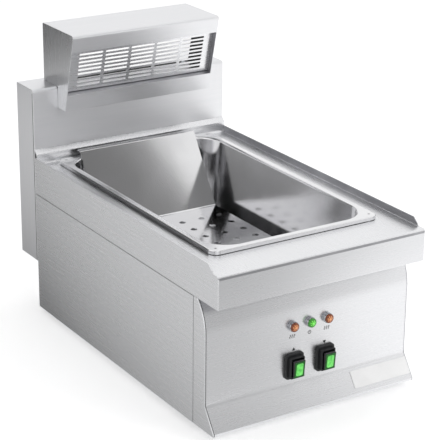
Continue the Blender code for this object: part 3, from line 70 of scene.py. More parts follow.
def reckon(tree, operation, *terms):
    # one sum: each term is a number, a node, or a node and its output
    numbers = {place: term for place, term in enumerate(terms) if isinstance(term, (int, float))}
    linked = {place: term if isinstance(term, tuple) else (term, 0)
              for place, term in enumerate(terms) if place not in numbers}
    return addNode(tree, "ShaderNodeMath", {"operation": operation, **numbers}, linked)


def rescale(tree, value, low, high, lowTo=0.0, highTo=1.0, output=0):
    limits = {"From Min": low, "From Max": high, "To Min": lowTo, "To Max": highTo}
    return addNode(tree, "ShaderNodeMapRange", limits, {"Value": (value, output)})


def newMaterial(name):
    material = bpy.data.materials.new(name)
    material.use_nodes = True
    return material, material.node_tree, material.node_tree.nodes["Principled BSDF"]


# camera, as the photograph was taken: from the left, a little above
cameraSetup = {
    "place": (-1.4523, -2.3090, 1.2591),
    "right": (0.84503, -0.53463, 0.00958),
    "up": (0.18088, 0.30267, 0.93578),
    "back": (-0.50320, -0.78902, 0.35247),
    "focal": 136.64,
}


def placeCamera(setup):
    data = bpy.data.cameras.new("studioCamera")
    data.lens = setup["focal"]
    data.sensor_width = 36
    data.clip_start = 0.05
    camera = bpy.data.objects.new("studioCamera", data)
    bpy.context.scene.collection.objects.link(camera)
    axes = Matrix((setup["right"], setup["up"], setup["back"])).transposed().to_4x4()
    camera.matrix_world = Matrix.Translation(setup["place"]) @ axes
    bpy.context.scene.camera = camera


# light: a white tent, two soft boxes, and grey cards round the machine that only its surfaces mirror
studio = {
    "fill": 0.70,                    # what the tent gives to everything
    "floorColour": "#FAFAFA",
    "floorHalf": 30,
    "floorLift": 0.30,               # how far the paper is lifted towards the white behind it
    "lamps": [
        # name, place, aim, width, height, watts
        ("frontSoftbox", (1.5, -2.4, 1.9), (0, -0.1, 0.2), 1.6, 1.2, 18),
        ("overheadSoftbox", (0.6, 0.6, 3.2), (0, 0.2, 0.2), 2.2, 2.2, 17),
    ],
    "cards": [
        # name, centre, half sizes, tilt about X, direction of its shading, from, to, greys along it
        ("leftCard", (-0.70, 0.45, 0.005), (0.50, 1.20), 0, (-1, -0.25, 0), 0.15, 0.50,
         [(0.0, 0.22), (0.3, 0.44), (0.6, 0.60), (1.0, 0.70)]),
        ("farLeftCard", (-1.00, 2.35, 0.005), (0.80, 0.70), 0, (0, 1, 0), 1.6, 3.0,
         [(0.0, 0.20), (1.0, 0.16)]),
        ("frontCard", (0.55, -1.20, 0.005), (1.20, 0.83), 0, (0.891, 0.453, 0), -0.29, 0.11,
         [(0.0, 0.62), (0.3, 0.70), (0.5, 0.86), (0.65, 1.02), (1.0, 1.14)]),
        ("slopeCard", (0.87, -1.50, 2.05), (0.47, 0.55), 90, (1, 0, 0), 0.4, 1.3, [(0.0, 0.15), (1.0, 0.21)]),
        ("kickCard", (0.35, -0.75, 0.255), (0.50, 0.205), 90, (1, 0, 0), 0.11, 0.51,
         [(0.0, 0.50), (0.45, 0.67), (1.0, 0.98)]),
        ("shoulderCard", (0.30, -1.50, 0.98), (0.12, 0.32), 90, (1, 0, 0), 0, 1, [(0.0, 0.35), (1.0, 0.35)]),
        ("rearLeftCard", (-1.05, 1.55, 1.02), (0.82, 0.90), 90, (1, 0, 0), 0, 1, [(0.0, 0.05), (1.0, 0.05)]),
        ("wallCard", (-1.05, -1.20, 1.42), (0.60, 0.50), 90, (1, 0, 0), 0, 1, [(0.0, 0.20), (1.0, 0.20)]),
    ],
}


def seenDirectly(tree):
    # 1 for what the eye, a mirror or a lens looks at, 0 for what only gives light
    ray = addNode(tree, "ShaderNodeLightPath")
    seen = reckon(tree, "MAXIMUM", (ray, "Is Camera Ray"), (ray, "Is Glossy Ray"))
    return reckon(tree, "MAXIMUM", seen, (ray, "Is Transmission Ray"))


def lightStudio(setup):
    world = bpy.data.worlds.new("studioTent")
    bpy.context.scene.world = world
    world.use_nodes = True
    tree = world.node_tree
    tree.nodes.clear()
    shown = seenDirectly(tree)
    tent = addNode(tree, "ShaderNodeBackground", {"Color": (1, 1, 1, 1), "Strength": setup["fill"]})
    white = addNode(tree, "ShaderNodeBackground", {"Color": (1, 1, 1, 1), "Strength": 1.0})
    mix = addNode(tree, "ShaderNodeMixShader", None, {0: (shown, 0), 1: (tent, 0), 2: (white, 0)})
    addNode(tree, "ShaderNodeOutputWorld", None, {"Surface": (mix, 0)})
    for name, place, aim, width, height, watts in setup["lamps"]:
        data = bpy.data.lights.new(name, "AREA")
        data.shape = "RECTANGLE"
        data.size = width
        data.size_y = height
        data.energy = watts
        lamp = bpy.data.objects.new(name, data)
        lamp.location = place
        lamp.rotation_euler = (Vector(aim) - Vector(place)).to_track_quat("-Z", "Y").to_euler()
        lamp.visible_glossy = False
        bpy.context.scene.collection.objects.link(lamp)
    for card in setup["cards"]:
        hangCard(*card)


def hangCard(name, centre, half, tilt, direction, start, end, greys):
    # a card that shines in given greys (halved in its curve, which ends at 1), and that only mirrors see
    bm = bmesh.new()
    turn = Matrix.Rotation(math.radians(tilt), 4, "X")
    bmesh.ops.create_grid(bm, x_segments=1, y_segments=1, size=1,
                          matrix=Matrix.Translation(centre) @ turn @ Matrix.Diagonal((*half, 1, 1)))
    card = stageObject(name, bm, "#808080")
    for sight in ("camera", "diffuse", "transmission", "shadow", "volume_scatter"):
        setattr(card, "visible_" + sight, False)
    tree = card.data.materials[0].node_tree
    where = addNode(tree, "ShaderNodeTexCoord")
    along = addNode(tree, "ShaderNodeVectorMath", {"operation": "DOT_PRODUCT", 1: direction},
                    {0: (where, "Object")})
    level = rescale(tree, along, start, end, output="Value")
    ramp = addNode(tree, "ShaderNodeFloatCurve", None, {"Value": (level, 0)})
    curve = ramp.mapping.curves[0]
    for point, (position, grey) in zip(list(curve.points), (greys[0], greys[-1])):
        point.location = (position, grey / 2)
    for position, grey in greys[1:-1]:
        curve.points.new(position, grey / 2)
    ramp.mapping.update()
    doubled = reckon(tree, "MULTIPLY", ramp, 2.0)
    glow = addNode(tree, "ShaderNodeEmission", None, {"Strength": (doubled, 0)})
    tree.links.new(glow.outputs[0], tree.nodes["Material Output"].inputs["Surface"])


def stageObject(name, bm, colour):
    mesh = bpy.data.meshes.new(name)
    bm.to_mesh(mesh)
    bm.free()
    staged = bpy.data.objects.new(name, mesh)
    bpy.context.scene.collection.objects.link(staged)
    material, _, shader = newMaterial(name + " paper")
    shader.inputs["Base Color"].default_value = linearColour(colour)
    shader.inputs["Roughness"].default_value = 0.9
    shader.inputs["Specular IOR Level"].default_value = 0.1
    mesh.materials.append(material)
    return staged


def layFloor(setup):
    bm = bmesh.new()
    bmesh.ops.create_grid(bm, x_segments=1, y_segments=1, size=setup["floorHalf"])
    floor = stageObject("studioFloor", bm, setup["floorColour"])
    # white behind the paper shows through it a little, so its shadow stays but its ground is white
    tree = floor.data.materials[0].node_tree
    shader = tree.nodes["Principled BSDF"]
    shader.inputs["Emission Color"].default_value = (1, 1, 1, 1)
    shown = seenDirectly(tree)
    lift = reckon(tree, "MULTIPLY", shown, setup["floorLift"])
    tree.links.new(lift.outputs[0], shader.inputs["Emission Strength"])


bpy.context.scene.view_settings.view_transform = "Standard"
placeCamera(cameraSetup)
lightStudio(studio)
layFloor(studio)
print("camera, light and floor are in place")


def wearFinish(material, level, height, light, dark, rough, bump, depth, sockets=None):
    # colour and roughness follow one level, the relief follows a height
    tree = material.node_tree
    shader = tree.nodes["Principled BSDF"]
    tone = addNode(tree, "ShaderNodeValToRGB", None, {0: (level, 0)})
    tone.color_ramp.elements[0].color = linearColour(dark)
    tone.color_ramp.elements[1].color = linearColour(light)
    shine = rescale(tree, level, 0.0, 1.0, rough[1], rough[0])
    relief = addNode(tree, "ShaderNodeBump", {"Strength": bump, "Distance": depth}, {"Height": (height, 0)})
    for node, socket in ((tone, "Base Color"), (shine, "Roughness"), (relief, "Normal")):
        tree.links.new(node.outputs[0], shader.inputs[socket])
    for socket, value in (sockets or {}).items():
        shader.inputs[socket].default_value = value
    return material


# 304 stainless sheet, brushed on a 240 grit belt: a satin grey that draws its reflections out across the belt
brushedSheet = {
    "light": "#EBEBED", "dark": "#E7E8EA", "rough": (0.27, 0.28),
    "stretch": 0.55,
    "lineSpacing": 0.9 * mm,         # real lines lie 0.1 mm apart: drawn coarser so that they show
    "lineLength": 45 * mm,
    "streakSpacing": 5 * mm,         # where the belt pressed harder
    "streakLength": 260 * mm,
    "cloudSize": 130 * mm,
    "streakShare": 0.7, "cloudShare": 0.6, "levels": (0.75, 1.35),
    "bump": 0.0022, "depth": 0.03 * mm,
}


def brushedStainless(name, along, setup=brushedSheet):
    # along is the axis that the belt ran: "X", "Y" or "Z"
    material, tree, shader = newMaterial(name)
    where = addNode(tree, "ShaderNodeTexCoord")
    grain = []
    for spacing, length, detail in ((setup["lineSpacing"], setup["lineLength"], 4.0),
                                    (setup["streakSpacing"], setup["streakLength"], 2.0)):
        scale = [1 / length if axis == along else 1 / spacing for axis in "XYZ"]
        laid = addNode(tree, "ShaderNodeMapping", {"Scale": scale}, {"Vector": (where, "Object")})
        grain.append(addNode(tree, "ShaderNodeTexNoise", {"Scale": 1.0, "Detail": detail, "Roughness": 0.6},
                             {"Vector": (laid, 0)}))
    lines, streaks = grain
    clouds = addNode(tree, "ShaderNodeTexNoise", {"Scale": 1 / setup["cloudSize"], "Detail": 3.0},
                     {"Vector": (where, "Object")})
    soft = reckon(tree, "MULTIPLY_ADD", clouds, setup["cloudShare"], streaks)
    level = rescale(tree, reckon(tree, "MULTIPLY_ADD", soft, setup["streakShare"], lines), *setup["levels"])
    belt = addNode(tree, "ShaderNodeCombineXYZ", {axis: float(axis == along) for axis in "XYZ"})
    tree.links.new(belt.outputs[0], shader.inputs["Tangent"])
    return wearFinish(material, level, lines, setup["light"], setup["dark"], setup["rough"],
                      setup["bump"], setup["depth"],
                      {"Metallic": 1.0, "Anisotropic": setup["stretch"], "Anisotropic Rotation": 0.25})


grainLevels = (0.45, 1.0)                # the noise's darkest and lightest value


def grainedFinish(name, light, dark, rough, grain, patch, bump, sockets=None, depth=0.05,
                  fineShare=0.5):
    # a moulded, drawn, plated or fired surface: a colour that wanders over patches, and a fine grain, in mm
    material, tree = newMaterial(name)[:2]
    where = addNode(tree, "ShaderNodeTexCoord")
    fine = addNode(tree, "ShaderNodeTexNoise", {"Scale": 1 / (grain * mm), "Detail": 3.0, "Roughness": 0.6},
                   {"Vector": (where, "Object")})
    broad = addNode(tree, "ShaderNodeTexNoise", {"Scale": 1 / (patch * mm), "Detail": 2.0},
                    {"Vector": (where, "Object")})
    level = rescale(tree, reckon(tree, "MULTIPLY_ADD", fine, fineShare, broad), *grainLevels)
    return wearFinish(material, level, fine, light, dark, rough, bump, depth * mm, sockets)


metal = {"Metallic": 1.0}


def litLens(refraction, coat, colour, strength):
    return {"IOR": refraction, "Coat Weight": coat, "Emission Color": linearColour(colour),
            "Emission Strength": strength}


steelX = brushedStainless("brushed 304 stainless, grain across", "X")
steelY = brushedStainless("brushed 304 stainless, grain front to rear", "Y")
steelZ = brushedStainless("brushed 304 stainless, grain upright", "Z")
# the same sheet from a fresh 180 grit belt: rougher, so that what it mirrors melts together
coarseSheet = {**brushedSheet, "rough": (0.37, 0.39)}
coarseX = brushedStainless("coarsely brushed 304 stainless, grain across", "X", coarseSheet)
coarseZ = brushedStainless("coarsely brushed 304 stainless, grain upright", "Z", coarseSheet)
# deep-drawn 304 stainless, bright annealed: smooth and mirror-like, with a faint orange peel from the press
drawnSteel = grainedFinish("deep-drawn 304 stainless", "#EEEEEF", "#E8E8EA", (0.14, 0.20),
                           2.2, 60, 0.05, metal)
# 2B mill-finish stainless: cold rolled and pickled, a soft even grey shine
millSheet = grainedFinish("mill-finish 304 stainless", "#EAEAEB", "#E2E2E4", (0.09, 0.13),
                          1.5, 80, 0.04, metal)
# mill-finish sheet made darker and duller as painted shade, on faces that lie in shade
dullSheet = grainedFinish("304 stainless darkened as painted shade", "#B8B8BB", "#A4A4A8", (0.30, 0.42),
                          1.5, 40, 0.05, metal)
# joints between sheets are painted dark as painted shade: nearly black where a joint is open, grey where it
# lies tight
jointBlack = grainedFinish("joint painted nearly black as shade", "#2C2C2E", "#161617", (0.6, 0.8), 0.6,
                           12, 0.1)
jointGrey = grainedFinish("joint painted grey as shade", "#6A6A6D", "#4A4A4D", (0.6, 0.8), 0.6, 12,
                          0.1)
# zinc-plated steel: bluish, with the dull bloom of a barrel-plated pressing
zincPlate = grainedFinish("zinc-plated steel", "#BFC3C8", "#9B9FA6", (0.30, 0.48), 1.2, 14,
                          0.15, metal)
# bright chrome over turned brass: a near mirror with a cold tint
chromePlate = grainedFinish("chromed brass", "#D0D1D5", "#B6B7BC", (0.06, 0.10), 1, 20, 0.01, metal)
# injection-moulded polycarbonate lenses, lit from behind by a neon: the rim is deep, the middle glows
amberLens = grainedFinish("moulded amber polycarbonate", "#8E4212", "#5E2807", (0.08, 0.14),
                          1.5, 4, 0.05, litLens(1.58, 0.3, "#A85010", 0.06))
amberGlow = grainedFinish("lit amber polycarbonate", "#F0B080", "#D07A3A", (0.08, 0.14), 1.5, 3,
                          0.05, litLens(1.58, 0.5, "#E89450", 0.25))
greenLens = grainedFinish("moulded green polycarbonate", "#2F8A1E", "#1B5A12", (0.08, 0.14),
                          1.5, 4, 0.05, litLens(1.58, 0.5, "#44B62C", 0.2))
greenGlow = grainedFinish("lit green polycarbonate", "#8CF06A", "#4CC62E", (0.08, 0.14), 1.5, 3,
                          0.05, litLens(1.58, 0.5, "#5CD838", 0.45))
# tinted acrylic rocker lens: dark bottle green at its thick border
windowRim = grainedFinish("tinted green acrylic", "#1F6A24", "#0D3B14", (0.10, 0.18), 1, 5,
                          0.03, {**litLens(1.49, 0.1, "#1E7A26", 0.12), "Specular IOR Level": 0.3})
windowGlow = grainedFinish("lit green acrylic", "#86EC7A", "#1F8A2B", (0.10, 0.18), 2, 9,
                           0.05, litLens(1.49, 0.4, "#55D24C", 0.4))
# glass-filled nylon from a spark-eroded mould: black with a fine matt grain
blackMoulding = grainedFinish("spark-eroded black nylon", "#26272A", "#17181A", (0.42, 0.55),
                              0.5, 12, 0.3)
# polished black nylon rocker: the same moulding from a polished mould
glossMoulding = grainedFinish("glossy black nylon", "#1A1B1D", "#0E0F10", (0.14, 0.22), 0.8, 10,
                              0.02, {"Coat Weight": 0.4})
# natural polyamide terminal strip: milky, slightly yellow
whiteMoulding = grainedFinish("natural polyamide", "#E4E2DA", "#D2CFC4", (0.35, 0.5), 0.8, 9,
                              0.1)
# fired ceramic radiant panel: chalk-white, faintly porous, with a soft glow that is painted light
firedCeramic = grainedFinish("white fired ceramic", "#FFFFFF", "#F4F2EE", (0.45, 0.6), 0.9, 18,
                             0.12, {"Emission Color": (1, 1, 1, 1), "Emission Strength": 0.75})
# glazed steatite insulator: cream, with a dull glassy skin
steatite = grainedFinish("glazed steatite", "#F0EEE7", "#DEDBD1", (0.2, 0.35), 1, 8, 0.06)
# matt black on the tray and walls behind the hood's grille, and on a strip of the hood's floor: painted
# shade, so that they show as darkness
heatBlack = grainedFinish("black paint standing in for shade", "#1C1C1D", "#0D0D0E", (0.6, 0.8), 1.2,
                          30, 0.1)
# resin-bonded mineral wool: matted ochre fibres
mineralWool = grainedFinish("mineral wool slab", "#BDB27C", "#7F7446", (0.9, 1.0), 1.6, 25,
                            1.0, {"Specular IOR Level": 0.1}, depth=0.8, fineShare=1.0)
# compression-moulded nitrile rubber
blackRubber = grainedFinish("moulded black rubber", "#232323", "#141414", (0.62, 0.8), 0.6, 10,
                            0.25)
# incoloy heater sheath, oxidised brown-grey by its own heat
heatedSheath = grainedFinish("heat-darkened incoloy", "#7A736C", "#453E39", (0.35, 0.55),
                             1.4, 22, 0.1, metal)
# turned brass, lightly tarnished
turnedBrass = grainedFinish("turned brass", "#D9BC74", "#B08A3E", (0.2, 0.34), 0.7, 6, 0.05, metal)
# silicone-rubber cable sleeve: matt, slightly dusty black
siliconeSleeve = grainedFinish("silicone cable sleeve", "#2A2A2B", "#171718", (0.45, 0.62), 0.8, 15,
                               0.15)
# blank satin polyester label
satinLabel = grainedFinish("satin white polyester", "#FFFFFF", "#F6F6F6", (0.25, 0.35), 0.9, 30,
                           0.02, {"Coat Weight": 0.2})
# screen-printed epoxy ink
printInk = grainedFinish("black epoxy ink", "#242526", "#141516", (0.4, 0.5), 0.5, 6, 0.05)
print("finishes are mixed")


def facesTurned(bm):
    bmesh.ops.recalc_face_normals(bm, faces=bm.faces)
    if bm.calc_volume(signed=True) < 0:
        bmesh.ops.reverse_faces(bm, faces=bm.faces)


def evenNormals(mesh, smooth):
    # flat faces stay flat up to their edges, and the narrow faces round them take up the turn
    around = {}
    for poly in mesh.polygons:
        for index in poly.vertices:
            around.setdefault(index, []).append(poly)
    limit = math.cos(math.radians(smooth))
    normals = [None] * len(mesh.loops)
    for poly in mesh.polygons:
        for loop in poly.loop_indices:
            near = [other for other in around[mesh.loops[loop].vertex_index]
                    if other.normal.dot(poly.normal) > limit]
            total = sum((other.normal * other.area for other in near), Vector())
            normals[loop] = total.normalized() if total.length > 0 else poly.normal.copy()
    mesh.normals_split_custom_set(normals)


def makePiece(name, bm, finish, standsFor=(), smooth=35, even=False, body="casing", at=None):
    # a finished piece: origin at zero, place in the mesh, riding its body
    if at is not None:
        bmesh.ops.transform(bm, matrix=at, verts=bm.verts)
    mesh = bpy.data.meshes.new(name)
    bm.to_mesh(mesh)
    bm.free()
    mesh.shade_smooth()
    if even:
        evenNormals(mesh, smooth)
    else:
        mesh.set_sharp_from_angle(angle=math.radians(smooth))
    mesh.materials.append(finish)
    piece = bpy.data.objects.new(name, mesh)
    bpy.context.scene.collection.objects.link(piece)
    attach(piece, body)
    if standsFor:
        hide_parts(*standsFor)
    return piece


def mergedCopy(nodeName):
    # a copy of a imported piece, as whole flat faces
    bm = bmesh.new()
    bm.from_mesh(nodes[nodeName].data)
    bmesh.ops.remove_doubles(bm, verts=bm.verts, dist=welded)
    bmesh.ops.dissolve_limit(bm, angle_limit=math.radians(1), verts=bm.verts, edges=bm.edges)
    bmesh.ops.connect_verts_concave(bm, faces=bm.faces)
    return bm


def bevel(bm, geom, radius, segments, affect="EDGES"):
    bmesh.ops.bevel(bm, geom=geom, offset=radius, offset_type="OFFSET", segments=segments, profile=0.5,
                    affect=affect, material=-1)


def roundSharpEdges(bm, radius, segments=2, least=40, among=None):
    chosen = [edge for edge in bm.edges if len(edge.link_faces) == 2
              and edge.calc_face_angle(0) > math.radians(least) and (among is None or among(edge))]
    if chosen:
        bevel(bm, chosen, radius, segments)


def faceWidth(face):
    return 2 * face.calc_area() / face.calc_perimeter()


def easeEdges(bm, fold, cut, thin=2.6 * mm, shortest=0.3 * mm):
    # press-brake folds get their radius, sheared edges lose their burr
    for radius, sheared, segments, least in ((fold, False, 3, 20), (cut, True, 2, 40)):
        roundSharpEdges(bm, radius, segments, least, lambda edge: edge.calc_length() > shortest and (
            min(faceWidth(face) for face in edge.link_faces) < thin) == sheared)


# many pieces are shaped standing upright, and then turned to face the front or the rear
upright = Matrix.Identity(4)
outwards = Matrix.Rotation(math.pi / 2, 4, "X")
rearwards = Matrix.Rotation(-math.pi / 2, 4, "X")


def vertsIn(items):
    return [item for item in items if isinstance(item, bmesh.types.BMVert)]


def facesIn(items):
    return [item for item in items if isinstance(item, bmesh.types.BMFace)]


def wholeOf(bm):
    return list(bm.verts) + list(bm.edges) + list(bm.faces)


def splitAt(bm, geom, point, normal, reach=1e-6):
    bmesh.ops.bisect_plane(bm, geom=geom, dist=reach, plane_co=point, plane_no=normal)


def atHeight(edge, height):
    return all(abs(vert.co.z - height) < touching for vert in edge.verts)


def madeSince(bm, before):
    return [vert for vert in bm.verts if vert not in before]


def turnProfile(bm, points, steps, place=upright):
    # a lathe-turned shape from its (radius, height) profile in mm
    before = set(bm.verts)
    verts = [bm.verts.new((radius * mm, 0, height * mm)) for radius, height in points]
    edges = [bm.edges.new(pair) for pair in zip(verts, verts[1:])]
    bmesh.ops.spin(bm, geom=verts + edges, cent=(0, 0, 0), axis=(0, 0, 1), angle=2 * math.pi, steps=steps,
                   use_merge=True)
    bmesh.ops.remove_doubles(bm, verts=madeSince(bm, before), dist=touching / 2)
    bmesh.ops.transform(bm, matrix=place, verts=madeSince(bm, before))


def roundedFace(bm, halfX, halfY, radius, steps, place):
    # one flat face with round corners
    before = set(bm.verts)
    corners = bmesh.ops.create_grid(bm, x_segments=1, y_segments=1, size=1,
                                    matrix=Matrix.Diagonal((halfX, halfY, 1, 1)))["verts"]
    bevel(bm, corners, radius, steps, "VERTICES")
    made = madeSince(bm, before)
    bmesh.ops.transform(bm, matrix=place, verts=made)
    return made[0].link_faces[0]


def pushFace(bm, face, vec):
    # extrudes one face and gives the moved face back; a face that lay in a skin leaves no floor behind
    inSkin = len(face.edges[0].link_faces) > 1
    grown = bmesh.ops.extrude_face_region(bm, geom=[face])["geom"]
    bmesh.ops.translate(bm, verts=vertsIn(grown), vec=vec)
    lifted = facesIn(grown)[0]
    if inSkin and face.is_valid and face is not lifted:
        bmesh.ops.delete(bm, geom=[face], context="FACES_ONLY")
    return lifted


def roundedBar(bm, halfX, halfY, radius, steps, low, high, place=upright):
    # a bar with round corners, standing between two heights
    before = set(bm.verts)
    face = roundedFace(bm, halfX, halfY, radius, steps, Matrix.Translation((0, 0, low)))
    pushFace(bm, face, (0, 0, high - low))
    bmesh.ops.transform(bm, matrix=place, verts=madeSince(bm, before))


def cutAway(bm, cutterBm):
    # cuts one shape out of another and gives the result as a new bmesh
    made = []
    for name, source in (("workpiece", bm), ("cutter", cutterBm)):
        mesh = bpy.data.meshes.new(name)
        source.to_mesh(mesh)
        source.free()
        made.append(bpy.data.objects.new(name, mesh))
        bpy.context.scene.collection.objects.link(made[-1])
    work, cutter = made
    difference = work.modifiers.new("cut", "BOOLEAN")
    difference.operation = "DIFFERENCE"
    difference.solver = "EXACT"
    difference.object = cutter
    bpy.context.view_layer.update()
    cutMesh = bpy.data.meshes.new_from_object(work.evaluated_get(bpy.context.evaluated_depsgraph_get()))
    result = bmesh.new()
    result.from_mesh(cutMesh)
    for used in (work, cutter):
        mesh = used.data
        bpy.data.objects.remove(used)
        bpy.data.meshes.remove(mesh)
    bpy.data.meshes.remove(cutMesh)
    return result


def addBox(bm, low, high):
    size = [b - a for a, b in zip(low, high)]
    middle = [(a + b) / 2 for a, b in zip(low, high)]
    bmesh.ops.create_cube(bm, size=1, matrix=Matrix.Translation(middle) @ Matrix.Diagonal(size + [1]))


def addCylinder(bm, radius, depth, segments, place):
    bmesh.ops.create_cone(bm, cap_ends=True, segments=segments, radius1=radius, radius2=radius, depth=depth,
                          matrix=place)


def scoreLines(bm, places, axis):
    # cuts the faces along planes, so that every hole is cut out of plain little faces
    for place in places:
        normal = Vector((axis == 0, axis == 1, axis == 2))
        splitAt(bm, wholeOf(bm), normal * place, normal)


# the fascia leans back in one even curve up to the worktop, and its cheeks are set in behind its front sheet
shoulderWork = {
    "front": -305 * mm, "start": 187 * mm, "top": 231.7 * mm, "crown": -282.31 * mm,
    "packedRadius": 25 * mm, "lean": math.radians(31), "radius": 85 * mm, "steps": 15, "reach": -275 * mm,
    "toe": (-331.5 * mm, 10 * mm, 15 * mm), "knee": 53 * mm, "corner": 1.5 * mm, "cheekY": -271 * mm,
    "joint": (197.0 * mm, 198.2 * mm, -1.5 * mm, 0.9 * mm), "side": 200 * mm,
    "kneeRound": 4 * mm, "past": 1 * mm,
}


def packedShoulder(z, setup):
    end = setup["start"] + setup["packedRadius"] * math.sin(setup["lean"])
    low = min(z, end) - setup["start"]
    bend = setup["packedRadius"] - math.sqrt(setup["packedRadius"] ** 2 - max(low, 0) ** 2)
    return setup["front"] + bend + max(z - end, 0) * math.tan(setup["lean"])


def shoulderStart(setup):
    drop = setup["crown"] - setup["front"]
    return setup["top"] - math.sqrt(setup["radius"] ** 2 - (setup["radius"] - drop) ** 2)


def roundedShoulder(z, setup):
    return setup["front"] + setup["radius"] - math.sqrt(
        setup["radius"] ** 2 - max(z - shoulderStart(setup), 0) ** 2)


def shoulderLevels(setup):
    start = shoulderStart(setup)
    span = setup["top"] - start
    return [start + span * step / setup["steps"] for step in range(setup["steps"])]


def onCorner(edge, side, reach):
    # an edge between a front sheet and one of its cheeks
    return all(abs(abs(vert.co.x) - side) < touching and vert.co.y < reach for vert in edge.verts) and any(
        abs(face.normal.x) < 0.1 and face.normal.y < -0.3 for face in edge.link_faces)


def curveShoulder(bm, setup=shoulderWork):
    scoreLines(bm, shoulderLevels(setup), 2)
    for vert in bm.verts:
        if vert.co.z > shoulderStart(setup) and vert.co.y < setup["reach"]:
            vert.co.y += roundedShoulder(vert.co.z, setup) - packedShoulder(vert.co.z, setup)
    bm.normal_update()
    roundSharpEdges(bm, setup["corner"], 4, 60, lambda edge: onCorner(edge, setup["side"], setup["reach"]))
    roundSharpEdges(bm, setup["kneeRound"], 4, 20, lambda edge: all(
        abs(vert.co.z - setup["knee"]) < nearby and vert.co.y < setup["front"] + nearby
        for vert in edge.verts) and edge.calc_length() > fullWidth)
    facesTurned(bm)
    return cutJoint(bm, fasciaProfile(setup), *setup["joint"])


def fasciaProfile(setup):
    # runs a little past the sheet at both ends, so that the groove does too
    toeY, low, rise = setup["toe"]
    curved = [(roundedShoulder(z, setup), z) for z in shoulderLevels(setup)]
    return [(toeY, low - setup["past"]), (toeY, rise), (setup["front"], setup["knee"])] + curved + [
        (setup["crown"], setup["top"] + setup["past"])]


def cutJoint(bm, line, inner, outer, near, far):
    # where two sheets meet at a corner, a narrow groove follows the (y, z) line on both sides of the machine
    cutter = bmesh.new()
    for side in (-1, 1):
        verts = [cutter.verts.new((side * inner, y + near, z)) for y, z in line]
        edges = [cutter.edges.new(pair) for pair in zip(verts, verts[1:])]
        across = bmesh.ops.extrude_edge_only(cutter, edges=edges)["geom"]
        bmesh.ops.translate(cutter, verts=vertsIn(across), vec=(side * (outer - inner), 0, 0))
        grown = bmesh.ops.extrude_face_region(cutter, geom=facesIn(across))["geom"]
        bmesh.ops.translate(cutter, verts=vertsIn(grown), vec=(0, far - near, 0))
    facesTurned(cutter)
    return cutAway(bm, cutter)


def inJoint(poly, line, inner, outer, near, far):
    # the floor and walls of such a groove
    edge, skinDepth = welded, 0.1 * mm
    x, y, z = abs(poly.center.x), poly.center.y, poly.center.z
    if not inner - edge < x < outer + edge:
        return False
    for (nearY, lowZ), (farY, highZ) in zip(line, line[1:]):
        if lowZ <= z <= highZ:
            skin = nearY + (farY - nearY) * (z - lowZ) / max(highZ - lowZ, edge)
            return (skin + max(near, 0) + edge < y < skin + far + edge
                    and (near > 0 or y > skin + skinDepth))
    return False


# the hood leans back: its own frame stands at its brow
hoodWork = {"brow": (0, 213.1 * mm, 532 * mm), "lean": math.radians(13.9), "browRound": 3 * mm,
            "grilleRear": 11.7 * mm, "inner": 140 * mm, "ledge": 440 * mm, "paintLow": 426.5 * mm,
            "floorPaint": (294.8 * mm, 318 * mm)}
hoodFrame = Matrix.Translation(hoodWork["brow"]) @ Matrix.Rotation(hoodWork["lean"], 4, "X")
behindGrille = hoodFrame @ Vector((0, hoodWork["grilleRear"], 0))
intoHood = hoodFrame.to_3x3() @ Vector((0, 1, 0))


def scoreHood(bm, setup=hoodWork):
    # a wide fold along the hood's brow, and a cut line in its walls where the grille stands
    roundSharpEdges(bm, setup["browRound"], 5, 60, lambda edge: edge.calc_length() > fullWidth and all(
        abs(vert.co[axis] - setup["brow"][axis]) < nearby for vert in edge.verts for axis in (1, 2)))
    splitAt(bm, wholeOf(bm), behindGrille, intoHood)
    return bm


def scoreHoodFloor(bm):
    scoreLines(bm, hoodWork["floorPaint"], 1)
    return bm


# the joint between the upstand's front and its sides: a (y, z) line, and the groove's sides and depths
upstandCorner = [(277.8 * mm, 99 * mm), (277.8 * mm, 419 * mm)]
upstandJoint = (198.9 * mm, 201 * mm, 2.2 * mm, 4.2 * mm)


def grooveUpstand(bm):
    return cutJoint(bm, upstandCorner, *upstandJoint)


def openSeams(bm, tops=(231.5 * mm, 0.6 * mm), fronts=(-268.6 * mm, 1.5 * mm), rears=(277.4 * mm, 1 * mm)):
    # the side panels stop short of the worktop, fascia and upstand, and the joints show as dark lines
    for vert in bm.verts:
        if vert.co.z > tops[0]:
            vert.co.z -= tops[1]
        if vert.co.y < fronts[0]:
            vert.co.y += fronts[1]
        if vert.co.y > rears[0]:
            vert.co.y -= rears[1]
    return bm


# worktop: its side lips' ends, its apron's corners, and the groove that sets its front edge off as a bead
worktopWork = {
    "lipFront": -336.5 * mm, "lipRear": -330 * mm, "lipLow": 287.5 * mm, "lipHigh": 295 * mm,
    "lipBack": 11 * mm,
    "side": 200 * mm, "apronY": -338.4 * mm, "corner": 2 * mm,
    "skinY": -338.9 * mm, "bead": (285.3 * mm, 283.3 * mm, 281.3 * mm), "beadDepth": 0.6 * mm,
    "lipInner": 180 * mm, "lipFloor": 288.5 * mm, "coveY": 270 * mm,
}


def scoreBead(bm, setup):
    for height in setup["bead"]:
        front = [face for face in bm.faces
                 if face.normal.y < -0.99 and face.calc_center_median().y < setup["skinY"]]
        around = {item for face in front for item in (face, *face.edges, *face.verts)}
        splitAt(bm, list(around), (0, 0, height), (0, 0, 1), 1e-7)
    for vert in bm.verts:
        if vert.co.y < setup["skinY"] and abs(vert.co.z - setup["bead"][1]) < touching:
            vert.co.y += setup["beadDepth"]


